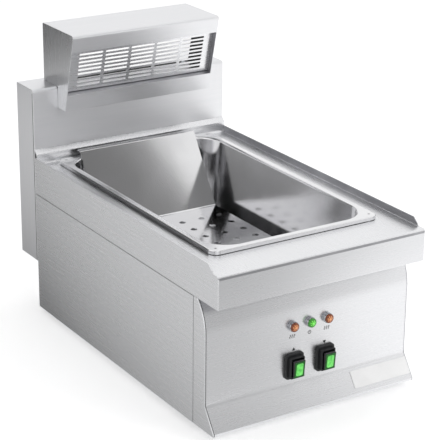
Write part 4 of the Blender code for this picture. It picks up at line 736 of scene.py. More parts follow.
def shapeWorktop(bm, setup=worktopWork):
    # the side lips end a little behind the front edge in a steep cut, and the apron's front corners are round
    roundSharpEdges(bm, setup["corner"], 4, 60, lambda edge: onCorner(edge, setup["side"], setup["apronY"]))
    scoreBead(bm, setup)
    for vert in bm.verts:
        if (setup["lipFront"] < vert.co.y < setup["lipRear"]
                and setup["lipLow"] < vert.co.z < setup["lipHigh"]):
            vert.co.y += setup["lipBack"]
    return bm


shapedFirst = {"worktop": shapeWorktop, "front_fascia": curveShoulder,
               "side_panel_left": openSeams, "side_panel_right": openSeams,
               "upstand_shell": grooveUpstand, "hood_shell": scoreHood, "hood_floor": scoreHoodFloor}
acrossGrain = {steelX: (0, steelY), steelY: (1, steelX), coarseX: (0, coarseZ)}


def turnGrain(piece, finish):
    # a face that the belt would meet end on is brushed the other way
    axis, other = acrossGrain[finish]
    if piece.name == "hoodShell":
        other = steelZ
    piece.data.materials.append(other)
    for poly in piece.data.polygons:
        if abs(poly.normal[axis]) > 0.75:
            poly.material_index = 1


# folded sheet: each piece gets real folds and deburred edges, and some are shaped first, as above
sheetWork = {
    # new name: node, finish, fold radius, deburr
    "worktopSheet": ("worktop", steelY, 0.8 * mm, 0.25 * mm),
    "leftSidePanel": ("side_panel_left", steelY, 1.0 * mm, 0.25 * mm),
    "rightSidePanel": ("side_panel_right", steelY, 1.0 * mm, 0.25 * mm),
    "fasciaSheet": ("front_fascia", steelX, 1.0 * mm, 0.25 * mm),
    "baseTray": ("base_tray", steelY, 1.0 * mm, 0.25 * mm),
    "casingBack": ("back_panel", steelX, 0.6 * mm, 0.25 * mm),
    "upstandShell": ("upstand_shell", coarseX, 0.9 * mm, 0.25 * mm),
    "upstandCover": ("upstand_cover", steelX, 0.6 * mm, 0.25 * mm),
    "upstandFloor": ("upstand_bottom", steelX, 0.6 * mm, 0.25 * mm),
    "hoodShell": ("hood_shell", coarseX, 0.9 * mm, 0.25 * mm),
    "hoodRearCover": ("hood_back_cover", steelX, 0.6 * mm, 0.25 * mm),
    # the hood's floor plate takes the darker sheet as painted shade
    "hoodFloorPlate": ("hood_floor", dullSheet, 0.6 * mm, 0.25 * mm),
    # the tray behind the emitter is black as painted shade
    "emitterTray": ("radiant_tray", heatBlack, 0.5 * mm, 0.2 * mm),
    "wellLiner": ("well_box", zincPlate, 0.8 * mm, 0.2 * mm),
    "insulationTray": ("insulation_tray", zincPlate, 0.8 * mm, 0.2 * mm),
    "frontElementSupport": ("element_support_front", zincPlate, 0.5 * mm, 0.2 * mm),
    "rearElementSupport": ("element_support_rear", zincPlate, 0.5 * mm, 0.2 * mm),
    "emitterBracket": ("emitter_bracket", zincPlate, 0.5 * mm, 0.2 * mm),
}
for pieceName, (nodeName, finish, fold, cut) in sheetWork.items():
    sheetMesh = mergedCopy(nodeName)
    if nodeName in shapedFirst:
        sheetMesh = shapedFirst[nodeName](sheetMesh)
    easeEdges(sheetMesh, fold, cut)
    sheetPiece = makePiece(pieceName, sheetMesh, finish, [nodeName], 35, True)
    if finish in acrossGrain:
        turnGrain(sheetPiece, finish)


def refinish(name, finish, chosen):
    # gives some faces of a sheet another finish
    mesh = bpy.data.objects[name].data
    mesh.materials.append(finish)
    for poly in mesh.polygons:
        if chosen(poly):
            poly.material_index = len(mesh.materials) - 1


def facesInwards(poly):
    return poly.normal.x * poly.center.x < -0.1 * mm


def onHoodWall(poly, side):
    # the hood's inner walls, in front of the grille (-1) or behind it (1)
    return ((poly.center - behindGrille).dot(intoHood) * side > 0 and abs(poly.center.x) > hoodWork["inner"]
            and facesInwards(poly))


def onWorktopUnpolished(poly, setup=worktopWork):
    # faces that get painted shade: undersides, the bead's groove, and the lips' inner faces
    low, high = setup["bead"][2], setup["bead"][0]
    return (poly.normal.z < -0.8 or poly.center.y < setup["skinY"] and low < poly.center.z < high
            or poly.center.z > setup["lipFloor"] and abs(poly.center.x) > setup["lipInner"]
            and poly.center.y < setup["coveY"] and poly.normal.x * poly.center.x < -0.03)


# behind its grille the hood is painted black, and a strip of its floor too, as painted shade; in front of it
# the inner walls and the ledge get darker, duller steel as painted shade
refinish("hoodFloorPlate", heatBlack,
         lambda poly: hoodWork["floorPaint"][0] < poly.center.y < hoodWork["floorPaint"][1])
refinish("hoodShell", dullSheet, lambda poly: onHoodWall(poly, -1))
refinish("hoodShell", dullSheet, lambda poly: poly.normal.z > 0.5 and poly.center.z < hoodWork["ledge"])
refinish("hoodShell", heatBlack, lambda poly: onHoodWall(poly, 1) and poly.center.z > hoodWork["paintLow"])
# painted shade in the joints: the faces inside them are painted dark
refinish("fasciaSheet", jointGrey, lambda poly: poly.center.x < 0
         and inJoint(poly, fasciaProfile(shoulderWork), *shoulderWork["joint"]))
refinish("fasciaSheet", jointBlack,
         lambda poly: poly.center.y > shoulderWork["cheekY"] and poly.normal.y > 0.7)
refinish("upstandShell", jointBlack, lambda poly: inJoint(poly, upstandCorner, *upstandJoint)
         and abs(poly.center.x) < shoulderWork["side"] - welded)
refinish("leftSidePanel", jointBlack, lambda poly: abs(poly.normal.y) > 0.9 or abs(poly.normal.z) > 0.9)
# the worktop's undersides, bead groove and lips' inner faces get darker steel as painted shade
refinish("worktopSheet", dullSheet, onWorktopUnpolished)
print("sheet metal is folded and deburred")

# hood grille: slotted sheet set back behind the hood's front, folded inwards at its top and bottom
grilleWork = {
    "halfWidth": 148.7 * mm, "top": 33.3 * mm, "bottom": 117.7 * mm,
    "recess": 10.5 * mm, "fold": 9 * mm, "foldRadius": 2.2 * mm, "sheet": 1.2 * mm,
    "rows": 9, "columns": 5, "rowPitch": 7.63 * mm, "columnPitch": 52.8 * mm, "columnShift": 2 * mm,
    "slotLength": 47.5 * mm, "slotHeight": 4.1 * mm, "punch": 4 * mm,
}


def foldSheet(line, halfWidth, radius, sheet, growth):
    # bends a sheet along a line of (y, z) points that is its outer face, and thickens it to the other side
    bm = bmesh.new()
    verts = [bm.verts.new((-halfWidth, y, z)) for y, z in line]
    edges = [bm.edges.new(pair) for pair in zip(verts, verts[1:])]
    grown = bmesh.ops.extrude_edge_only(bm, edges=edges)["geom"]
    bmesh.ops.translate(bm, verts=vertsIn(grown), vec=(2 * halfWidth, 0, 0))
    bmesh.ops.recalc_face_normals(bm, faces=bm.faces)
    bevel(bm, [edge for edge in bm.edges if len(edge.link_faces) == 2], radius, 6)
    thicken(bm, sheet, growth)
    return bm


def thicken(bm, sheet, growth):
    # gives an open skin its thickness, towards the side that the growth vector names
    bm.normal_update()
    if sum(face.normal.dot(Vector(growth)) * face.calc_area() for face in bm.faces) > 0:
        bmesh.ops.reverse_faces(bm, faces=bm.faces)
    bmesh.ops.solidify(bm, geom=bm.faces, thickness=sheet)
    facesTurned(bm)


def rowPlaces(count, pitch, middle=0.0):
    return [middle + (step - (count - 1) / 2) * pitch for step in range(count)]


def makeGrille(setup):
    near = setup["recess"]
    deep = near + setup["fold"]
    line = [(deep, -setup["bottom"]), (near, -setup["bottom"]), (near, -setup["top"]), (deep, -setup["top"])]
    sheet = foldSheet(line, setup["halfWidth"], setup["foldRadius"], setup["sheet"], (0, 1, 0))
    acrossPlaces = rowPlaces(setup["columns"], setup["columnPitch"], setup["columnShift"])
    upPlaces = rowPlaces(setup["rows"], setup["rowPitch"], -(setup["top"] + setup["bottom"]) / 2)
    scoreLines(sheet, acrossPlaces, 0)
    scoreLines(sheet, upPlaces, 2)
    slots = bmesh.new()
    for x in acrossPlaces:
        for z in upPlaces:
            roundedBar(slots, setup["slotLength"] / 2, setup["slotHeight"] / 2, setup["slotHeight"] * 0.498,
                       7, -setup["punch"], setup["punch"], Matrix.Translation((x, near, z)) @ outwards)
    facesTurned(slots)
    sheet = cutAway(sheet, slots)
    makePiece("slottedGrille", sheet, steelX, ["hood_grille"], 35, True, at=hoodFrame)


makeGrille(grilleWork)

# radiant panel: a plain slab with eased edges, behind the grille
emitterWork = {
    "place": (0, 311.1 * mm, 429.3 * mm), "halfWidth": 144 * mm, "height": 89 * mm, "thickness": 7 * mm,
    "corner": 3 * mm, "edge": 1.6 * mm,
}


def makeEmitter(setup):
    bm = bmesh.new()
    turn = Matrix.Translation(setup["place"]) @ Matrix.Rotation(hoodWork["lean"], 4, "X")
    middle = Matrix.Translation((0, setup["thickness"], setup["height"] / 2))
    roundedBar(bm, setup["halfWidth"], setup["height"] / 2, setup["corner"], 4, 0, setup["thickness"],
               turn @ middle @ outwards)
    facesTurned(bm)
    roundSharpEdges(bm, setup["edge"], 4)
    makePiece("ceramicEmitter", bm, firedCeramic, ["radiant_plate"], 35, True)


makeEmitter(emitterWork)
print("hood grille and emitter are in")

# gastronorm pan: rings of (distance in from the rim, corner radius, height), from the skirt to the floor
panWork = {
    "centreY": -2.0 * mm, "halfX": 162.5 * mm, "halfY": 265 * mm,
    "skirt": 288.9 * mm, "rim": 295.5 * mm, "floor": 146.5 * mm, "wall": 0.9 * mm,
    "rimCorner": 15 * mm, "innerCorner": 48 * mm, "flange": 12.5 * mm, "taper": 8 * mm,
    "rimRadius": 2.0 * mm, "throat": 4 * mm, "floorRadius": 15 * mm, "steps": 10,
    "hole": 4.0 * mm, "holeInset": 12.5 * mm, "punch": 6 * mm,
}


def arcSteps(count):
    return [math.radians(90) * step / count for step in range(count + 1)]


def panRings(setup):
    rings = [(0, setup["rimCorner"], setup["skirt"])]
    edge = setup["rimRadius"]
    for angle in arcSteps(5):
        drawn = edge * (1 - math.cos(angle))
        rings.append((drawn, setup["rimCorner"] - drawn, setup["rim"] - edge + edge * math.sin(angle)))
    throat = setup["throat"]
    for angle in arcSteps(6):
        back = throat * (1 - math.sin(angle))
        rings.append((setup["flange"] - back, setup["innerCorner"] + back,
                      setup["rim"] - throat * (1 - math.cos(angle))))
    bend = setup["floorRadius"]
    deep = setup["flange"] + setup["taper"]
    corner = setup["innerCorner"] - setup["taper"]
    for angle in arcSteps(8):
        drawn = bend * (1 - math.cos(angle))
        rings.append((deep + drawn, corner - drawn, setup["floor"] + bend * (1 - math.sin(angle))))
    return rings


def makePan(setup):
    bm = bmesh.new()
    rings = panRings(setup)
    inset, corner, height = rings[0]
    face = roundedFace(bm, setup["halfX"] - inset, setup["halfY"] - inset, corner, setup["steps"],
                       Matrix.Translation((0, 0, height)))
    outline = list(face.edges)
    bmesh.ops.delete(bm, geom=[face], context="FACES_ONLY")
    for nextInset, nextCorner, nextHeight in rings[1:]:
        grown = bmesh.ops.extrude_edge_only(bm, edges=outline)["geom"]
        outline = [item for item in grown if isinstance(item, bmesh.types.BMEdge)
                   and all(vert.is_boundary for vert in item.verts)]
        ring = set(vert for item in outline for vert in item.verts)
        for vert in ring:
            side = (math.copysign(1, vert.co.x), math.copysign(1, vert.co.y))
            half = (setup["halfX"], setup["halfY"])
            for axis in (0, 1):
                turned = (vert.co[axis] - side[axis] * (half[axis] - inset - corner)) / corner
                vert.co[axis] = side[axis] * (half[axis] - nextInset - nextCorner) + turned * nextCorner
            vert.co.z = nextHeight
        inset, corner = nextInset, nextCorner
    bmesh.ops.contextual_create(bm, geom=outline)
    bmesh.ops.translate(bm, verts=bm.verts, vec=(0, setup["centreY"], 0))
    bmesh.ops.recalc_face_normals(bm, faces=bm.faces)
    thicken(bm, setup["wall"], (0, 0, -1))
    holes = bmesh.new()
    for sideX in (-1, 1):
        for sideY in (-1, 1):
            place = (sideX * (setup["halfX"] - setup["holeInset"]),
                     setup["centreY"] + sideY * (setup["halfY"] - setup["holeInset"]), setup["rim"])
            addCylinder(holes, setup["hole"] / 2, setup["punch"], 20, Matrix.Translation(place))
    pan = cutAway(bm, holes)
    makePiece("drawnPan", pan, drawnSteel, ["gastro_pan"], 35, True, body="pan")


makePan(panWork)

# lift-out insert: perforated floor on two legs, sloped back, folded top edge
insertWork = {
    "stand": 146.8 * mm, "floor": 181.8 * mm, "toe": -221.5 * mm, "heel": 174.87 * mm,
    "foldY": 253.1 * mm, "foldZ": 307 * mm, "flange": 11 * mm, "flangeDrop": 1 * mm,
    "halfWidth": 121 * mm, "sheet": 1.2 * mm, "foldRadius": 2.2 * mm, "legY": 154.87 * mm,
    "hole": 12 * mm, "punch": 8 * mm, "pitch": 40 * mm, "columns": 6, "rows": 9, "middleY": -33.3 * mm,
}


def makeInsert(setup):
    line = [(setup["toe"], setup["stand"]), (setup["toe"], setup["floor"]), (setup["heel"], setup["floor"]),
            (setup["foldY"], setup["foldZ"]),
            (setup["foldY"] + setup["flange"], setup["foldZ"] - setup["flangeDrop"])]
    plate = foldSheet(line, setup["halfWidth"], setup["foldRadius"], setup["sheet"], (0, 0, -1))
    addBox(plate, (-setup["halfWidth"], setup["legY"], setup["stand"]),
           (setup["halfWidth"], setup["legY"] + setup["sheet"], setup["floor"] - setup["sheet"] * 0.9))
    acrossPlaces = rowPlaces(setup["columns"], setup["pitch"])
    alongPlaces = rowPlaces(setup["rows"], setup["pitch"], setup["middleY"])
    scoreLines(plate, acrossPlaces, 0)
    scoreLines(plate, alongPlaces, 1)
    holes = bmesh.new()
    for x in acrossPlaces:
        for y in alongPlaces:
            addCylinder(holes, setup["hole"] / 2, setup["punch"], 28,
                        Matrix.Translation((x, y, setup["floor"])))
    plate = cutAway(plate, holes)
    makePiece("slopedInsert", plate, millSheet, ["fry_insert"], 35, True, body="insert")


makeInsert(insertWork)
print("pan and insert are in")

# indicator lamps, profiles in mm: chromed bezel, lens, and a faceted star that glows in every second ray
lampWork = {
    "lamps": {"left": (-34 * mm, amberLens, amberGlow), "middle": (0.0, greenLens, greenGlow),
              "right": (34 * mm, amberLens, amberGlow)},
    "faceY": -305 * mm, "height": 155 * mm,
    "bezel": [(4.5, -20), (6, -20), (6, -6.8), (7.25, -1.9), (6, -1.7), (6, 0.3), (8.4, 0.3), (8.7, 0.6),
              (8.7, 1.0), (8.4, 1.3), (7.0, 1.5), (7.0, 2.5), (8.1, 2.7), (8.6, 3.1), (8.8, 3.7), (8.8, 4.3),
              (8.6, 5.0), (8.2, 5.5), (7.9, 5.8), (4.5, 5.8), (4.5, -20)],
    "lens": [(0, 0.1), (4.2, 0.1), (4.2, 6.1), (7.6, 6.1), (7.9, 6.4), (7.9, 7.9), (7.5, 8.5), (6.4, 9.2),
             (5.2, 9.3), (4.6, 9.0), (0, 9.0)],
    "star": [(0, 8.9), (5.5, 8.9), (5.1, 9.5), (1.8, 10.6), (0, 10.8)], "rays": 14, "hub": 2.2 * mm,
}


def turnPiece(name, profile, steps, finish, standsFor, smooth, place):
    bm = bmesh.new()
    turnProfile(bm, profile, steps, place)
    facesTurned(bm)
    return makePiece(name, bm, finish, standsFor, smooth)


def makeLamp(side, setup):
    x, lens, glow = setup["lamps"][side]
    place = Matrix.Translation((x, setup["faceY"], setup["height"])) @ outwards
    for part, finish, steps, smooth in (("Bezel", chromePlate, 48, 40), ("Lens", lens, 40, 40),
                                        ("Star", glow, setup["rays"], 5)):
        standsFor = [] if part == "Star" else ["lamp_%s_%s" % (side, part.lower())]
        piece = turnPiece(side + "Lamp" + part, setup[part.lower()], steps, finish, standsFor, smooth, place)
    # outside its hub, every second ray of the star is deep
    piece.data.materials.append(lens)
    for poly in piece.data.polygons:
        across, up = poly.center.x - x, poly.center.z - setup["height"]
        ray = math.floor(math.atan2(up, across) / (2 * math.pi) * setup["rays"])
        if ray % 2 and math.hypot(across, up) > setup["hub"]:
            poly.material_index = 1


for lampSide in lampWork["lamps"]:
    makeLamp(lampSide, lampWork)

# rocker switches, in mm: housing with a collar, a tilted rocker, its lens and the lit patch on it
switchWork = {
    "places": {"left": -30.5 * mm, "right": 30.5 * mm}, "faceY": -305 * mm, "height": 85 * mm,
    "plate": (17.5, 22.25, 5.2), "plateLow": 0.3, "plateHigh": 5.3, "plateEdge": 1.3,
    "collarInset": 4.1, "collarHigh": 13.8, "wall": 1.6, "mouth": 12.4, "collarEdge": 0.7,
    "body": (10.75, 15.0, 1.0), "bodyLow": -26, "bodyHigh": 1.3,
    "pivot": 6.5, "tilt": math.radians(6), "trunnion": 1.5, "trunnionReach": 12.0,
    # half sizes and corner, from, to, edge radius, steps of the edge
    "rocker": ((10.75, 15.5, 1.6), -2.6, 12.0, 1.0, 3), "seat": ((9.8, 14.5, 1.6), 10.6, 20, 0, 0),
    "window": ((9.6, 14.3, 1.6), 10.8, 12.3, 0.4, 2), "glow": ((6.6, 11.2, 3.0), 10.8, 13.3, 1.3, 4),
}


def switchBar(sizes, low, high, edge, steps):
    # a bar with its front edge rounded
    bm = bmesh.new()
    roundedBar(bm, *(size * mm for size in sizes), 5, low * mm, high * mm)
    facesTurned(bm)
    if edge:
        roundSharpEdges(bm, edge * mm, steps, 60, lambda rim: atHeight(rim, high * mm))
    return bm


def switchHousing(setup):
    bm = bmesh.new()
    low, high, top = (setup[key] * mm for key in ("plateLow", "plateHigh", "collarHigh"))
    halfX, halfY, corner = (size * mm for size in setup["plate"])
    face = roundedFace(bm, halfX, halfY, corner, 8, Matrix.Translation((0, 0, low)))
    face = pushFace(bm, face, (0, 0, high - low))
    bmesh.ops.inset_region(bm, faces=[face], thickness=setup["collarInset"] * mm, use_even_offset=True)
    face = pushFace(bm, face, (0, 0, top - high))
    bmesh.ops.inset_region(bm, faces=[face], thickness=setup["wall"] * mm, use_even_offset=True)
    pushFace(bm, face, (0, 0, -setup["mouth"] * mm))
    facesTurned(bm)
    outX, outY = (half - (setup["collarInset"] - 0.5) * mm for half in (halfX, halfY))
    roundSharpEdges(bm, setup["plateEdge"] * mm, 3, 60, lambda edge: atHeight(edge, high) and all(
        abs(vert.co.x) > outX or abs(vert.co.y) > outY for vert in edge.verts))
    roundSharpEdges(bm, setup["collarEdge"] * mm, 3, 60, lambda edge: atHeight(edge, top))
    roundedBar(bm, *(size * mm for size in setup["body"]), 3, setup["bodyLow"] * mm, setup["bodyHigh"] * mm)
    return bm


def makeSwitch(side, setup):
    x, body = setup["places"][side], side + "_rocker"
    makePiece(side + "SwitchHousing", switchHousing(setup), blackMoulding, ["switch_%s_housing" % side],
              40, True, at=Matrix.Translation((x, setup["faceY"], setup["height"])) @ outwards)
    pivot = Matrix.Translation((x, setup["faceY"] - setup["pivot"] * mm, setup["height"]))
    tilted = pivot @ Matrix.Rotation(setup["tilt"], 4, "X") @ outwards
    rocker = switchBar(*setup["rocker"])
    addCylinder(rocker, setup["trunnion"] * mm, setup["trunnionReach"] * 2 * mm, 20,
                Matrix.Rotation(math.pi / 2, 4, "Y"))
    rocker = cutAway(rocker, switchBar(*setup["seat"]))
    for part, bm, finish, standsFor in (
            ("Rocker", rocker, glossMoulding, ["switch_%s_rocker" % side]),
            ("Lens", switchBar(*setup["window"]), windowRim, ["switch_%s_window" % side]),
            ("Light", switchBar(*setup["glow"]), windowGlow, [])):
        makePiece(side + "Switch" + part, bm, finish, standsFor, 40, True, body, tilted)


for switchSide in switchWork["places"]:
    makeSwitch(switchSide, switchWork)
print("lamps and switches are in")

# blank label plate on the kick-out, and plain signs beside the lamps and switches
labelWork = {
    "knee": (-305 * mm, 53 * mm), "slope": math.radians(-34.89), "middle": (139 * mm, -22.7 * mm),
    "half": (58 * mm, 14.7 * mm), "corner": 1.2 * mm, "low": 0.3 * mm, "high": 1.1 * mm, "edge": 0.3 * mm,
}
signWork = {
    "faceY": -305.0 * mm, "low": 0.01 * mm, "high": 0.06 * mm,
    "lampRow": 136.5 * mm, "switchRow": 112.5 * mm,
    "waveHalf": (0.75 * mm, 3.2 * mm), "waveSwing": 0.8 * mm, "waveGap": 4.0 * mm,
    "ring": (2.2 * mm, 3.4 * mm), "ringGap": 0.6, "bar": (0.6 * mm, 1.7 * mm), "arrow": 3.8 * mm,
}


def makeLabel(setup):
    bm = bmesh.new()
    lean = Matrix.Translation((0, *setup["knee"])) @ Matrix.Rotation(setup["slope"], 4, "X")
    place = lean @ Matrix.Translation((setup["middle"][0], 0, setup["middle"][1])) @ outwards
    roundedBar(bm, *setup["half"], setup["corner"], 4, setup["low"], setup["high"])
    facesTurned(bm)
    roundSharpEdges(bm, setup["edge"], 2, 60, lambda edge: atHeight(edge, setup["high"]))
    makePiece("blankLabel", bm, satinLabel, ["label_plate"], 40, True, at=place)


def makeSigns(setup):
    bm = bmesh.new()

    def flat(halfX, halfY, steps=1, place=upright):
        return bmesh.ops.create_grid(bm, x_segments=1, y_segments=steps, size=1,
                                     matrix=place @ Matrix.Diagonal((halfX, halfY, 1, 1)))["verts"]

    def wave(number):
        for vert in flat(*setup["waveHalf"], 14):
            swing = math.sin(vert.co.y / setup["waveHalf"][1] * math.pi)
            vert.co.x += setup["waveSwing"] * swing + number * setup["waveGap"]

    def ring():
        gap = setup["ringGap"]
        ends = [bm.verts.new((radius * math.sin(gap), radius * math.cos(gap), 0)) for radius in setup["ring"]]
        bmesh.ops.spin(bm, geom=ends + [bm.edges.new(ends)], cent=(0, 0, 0), axis=(0, 0, -1),
                       angle=2 * (math.pi - gap), steps=24)

    def bar():
        flat(*setup["bar"], 1, Matrix.Translation((0, setup["bar"][1], 0)))

    def arrow(turn):
        bmesh.ops.create_circle(bm, cap_ends=True, segments=3, radius=setup["arrow"],
                                matrix=Matrix.Rotation(turn, 4, "Z"))

    lamps, switches = lampWork["lamps"], switchWork["places"]
    signs = [(wave, [number], lamps[side][0], "lampRow")
             for side in ("left", "right") for number in (-1, 0, 1)]
    signs += [(ring, [], 0, "lampRow"), (bar, [], 0, "lampRow"),
              (arrow, [0], switches["left"], "switchRow"), (arrow, [math.pi], switches["right"], "switchRow")]
    for draw, values, x, row in signs:
        # each flat sign gets the ink's thickness and goes onto the fascia
        before = set(bm.faces)
        draw(*values)
        faces = [face for face in bm.faces if face not in before]
        verts = {vert for face in faces for vert in face.verts}
        top = vertsIn(bmesh.ops.extrude_face_region(bm, geom=faces)["geom"])
        bmesh.ops.translate(bm, verts=top, vec=(0, 0, setup["high"] - setup["low"]))
        place = Matrix.Translation((x, setup["faceY"] - setup["low"], setup[row])) @ outwards
        bmesh.ops.transform(bm, matrix=place, verts=list(verts) + top)
    facesTurned(bm)
    makePiece("printedSigns", bm, printInk, [], 40)


makeLabel(labelWork)
makeSigns(signWork)
print("label plate and signs are in")

# feet: moulded rubber with a steel stud through the base
footWork = {
    "rubber": [(0, 0.6), (9.5, 0.6), (10, 0), (13.2, 0), (15.2, 0.8), (16, 2.4), (16, 3.6), (15.4, 4.4),
               (15.4, 7.6), (15, 9.2), (14.3, 9.7), (0, 9.7)],
    "stud": (3.0, 0.35, 1.0, 9.5, 22),     # radius, thread depth, pitch, from, to
}


def threadProfile(radius, depth, pitch, low, high):
    # a stud's outline with its thread drawn as rings
    points = [(0, low), (radius - depth, low)]
    count = int((high - low) / pitch)
    for ring in range(count):
        start = low + ring * pitch
        points += [(radius - depth, start + pitch * 0.15), (radius, start + pitch * 0.5)]
    return points + [(radius - depth, high), (0, high)]


def makeFoot(corner, setup):
    low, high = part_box("foot_" + corner)
    place = Matrix.Translation(((low.x + high.x) / 2, (low.y + high.y) / 2, 0))
    name = "".join(part.capitalize() for part in corner.split("_"))
    turnPiece("foot" + name, setup["rubber"], 40, blackRubber, ["foot_" + corner], 40, place)
    turnPiece("footStud" + name, threadProfile(*setup["stud"]), 20, zincPlate, [], 40, place)


for footCorner in ("front_left", "front_right", "rear_left", "rear_right"):
    makeFoot(footCorner, footWork)

# fasteners: hexagon bolts with nuts, and cross-head screws in the rear cover
boltWork = {
    "across": 4.5, "headHeight": 3.0, "nutHeight": 3.5, "chamfer": 0.5, "thread": (2.5, 0.3, 0.8),
    "past": 1.0,
    "bolts": {"upstandBoltLeft": ("upstand_bolt_left", "Y"), "upstandBoltRight": ("upstand_bolt_right", "Y"),
              "hoodBoltLeft": ("hood_bolt_left", "Z"), "hoodBoltRight": ("hood_bolt_right", "Z")},
}


def hexPrism(bm, radius, low, high, chamfer):
    # a hexagon with chamfered ends
    before = set(bm.verts)
    addCylinder(bm, radius * mm, (high - low) * mm, 6, Matrix.Translation((0, 0, (low + high) / 2 * mm)))
    corners = madeSince(bm, before)
    bevel(bm, [edge for edge in bm.edges if edge.verts[0] in corners
               and abs(edge.verts[0].co.z - edge.verts[1].co.z) < touching], chamfer * mm, 2)


def makeBolt(name, setup):
    nodeName, axis = setup["bolts"][name]
    low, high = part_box(nodeName)
    middle = (low + high) / 2
    turn = rearwards if axis == "Y" else upright
    reach = (high.y - low.y if axis == "Y" else high.z - low.z) / mm / 2
    bm = bmesh.new()
    hexPrism(bm, setup["across"], reach - setup["headHeight"], reach, setup["chamfer"])
    hexPrism(bm, setup["across"], -reach, -reach + setup["nutHeight"], setup["chamfer"])
    turnProfile(bm, threadProfile(*setup["thread"], -reach - setup["past"], reach - setup["headHeight"]), 18)
    facesTurned(bm)
    makePiece(name, bm, zincPlate, [nodeName], 30, at=Matrix.Translation(middle) @ turn)


for boltName in boltWork["bolts"]:
    makeBolt(boltName, boltWork)

screwWork = {
    "profile": [(0, -4), (1.2, -4), (1.75, -3.4), (1.75, 0), (3.6, 0), (3.75, 0.25), (3.5, 0.8), (2.6, 1.25),
                (1.3, 1.4), (0, 1.4)],
    "slot": (2.3, 0.45, 0.9), "top": 1.4,
    "screws": {"coverScrewLeft": "cover_screw_left", "coverScrewRight": "cover_screw_right"},
}


def makeScrew(name, setup):
    low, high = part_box(setup["screws"][name])
    bm = bmesh.new()
    turnProfile(bm, setup["profile"], 28)
    facesTurned(bm)
    reach, half, deep = (size * mm for size in setup["slot"])
    top = setup["top"] * mm
    for halfX, halfY in ((reach, half), (half, reach)):
        cross = bmesh.new()
        addBox(cross, (-halfX, -halfY, top - deep), (halfX, halfY, 2 * top))
        bm = cutAway(bm, cross)
    place = Matrix.Translation(((low.x + high.x) / 2, high.y - top, (low.z + high.z) / 2))
    makePiece(name, bm, zincPlate, [setup["screws"][name]], at=place @ rearwards)


for screwName in screwWork["screws"]:
    makeScrew(screwName, screwWork)
print("feet and fasteners are in")

# mains entry at the rear: cable gland with its lock nut, and the bonding stud
entryWork = {
    "backY": 277.5 * mm, "glandX": 120 * mm, "studX": -120 * mm, "height": 55 * mm,
    "thread": (10.0, 0.5, 1.5, -12, 0.3), "bore": 5.5,
    "hex": (13.0, 0.3, 12.3),
    "cap": [(5.5, 8), (11, 8), (11, 15.5), (10.6, 19), (9.4, 22.5), (7.8, 25.4), (7, 26.3), (5.8, 26.3),
            (5.5, 26), (5.5, 8)],
    "seal": [(3.9, 12), (5.6, 12), (5.6, 25.2), (4.6, 25.6), (3.9, 25.2), (3.9, 12)],
    "locknut": (13.0, -6.8, -1.8, 10.2),
    "stud": (3.0, 0.35, 1.0, -15, 15), "studNuts": ((5.5, -6.8, -1.8), (5.5, 0.3, 5.3)),
}


def boredHex(radius, low, high, bore, chamfer=0.5, past=2):
    bm = bmesh.new()
    hexPrism(bm, radius, low, high, chamfer)
    facesTurned(bm)
    hole = bmesh.new()
    addCylinder(hole, bore * mm, (high - low + 2 * past) * mm, 40,
                Matrix.Translation((0, 0, (low + high) / 2 * mm)))
    return cutAway(bm, hole)


def makeEntry(setup):
    at = Matrix.Translation((setup["glandX"], setup["backY"], setup["height"])) @ rearwards
    bm = boredHex(*setup["hex"], setup["bore"])
    radius, depth, pitch, low, high = setup["thread"]
    outline = [point for point in threadProfile(radius, depth, pitch, low, high) if point[0] > 0]
    outline = [(setup["bore"], low)] + outline + [(setup["bore"], high), (setup["bore"], low)]
    turnProfile(bm, outline, 40)
    turnProfile(bm, setup["cap"], 16)
    facesTurned(bm)
    makePiece("cableGland", bm, blackMoulding, ["cable_gland"], 20, at=at)
    turnPiece("glandSeal", setup["seal"], 36, blackRubber, [], 40, at)
    makePiece("glandLocknut", boredHex(*setup["locknut"]), blackMoulding, ["gland_locknut"], 30, at=at)
    at = Matrix.Translation((setup["studX"], setup["backY"], setup["height"])) @ rearwards
    bm = bmesh.new()
    turnProfile(bm, threadProfile(*setup["stud"]), 24)
    for nut in setup["studNuts"]:
        hexPrism(bm, *nut, 0.5)
    facesTurned(bm)
    makePiece("bondingStud", bm, turnedBrass, ["bonding_stud"], 30, at=at)


makeEntry(entryWork)

# what sits inside the casing: terminal strip, thermostat, cut-out, grommet, leads and the lower element
insideWork = {
    "grommet": [(3.6, -1.5), (5.9, -1.8), (6.7, -1.5), (6.7, 2.1), (9.6, 2.2), (10, 2.6), (9.8, 3.4),
                (9, 3.9), (4.4, 3.9), (3.6, 3.2), (3.6, -1.5)],
    "grommetPlace": (100 * mm, 277.5 * mm, 195 * mm),
    "disc": [(0, 0), (15, 0), (15, 1.4), (14.4, 1.5), (12, 1.5), (12, 10.8), (11.2, 12), (0, 12)],
    "discs": {"panThermostat": "pan_thermostat", "safetyCutout": "safety_cutout"},
    "tab": (0.4, 3.15, 0.2, 11.5, 18.5), "tabOffset": 5.5, "wellX": -159.3 * mm,
    "elementNut": (8.0, 0, 4.0, 4.3), "mouldEdge": 4 * mm,
    "ways": 5, "clampScrew": [(0, -6), (2.1, -6), (2.1, -1.8), (1.8, -1.3), (0, -1.3)],
}


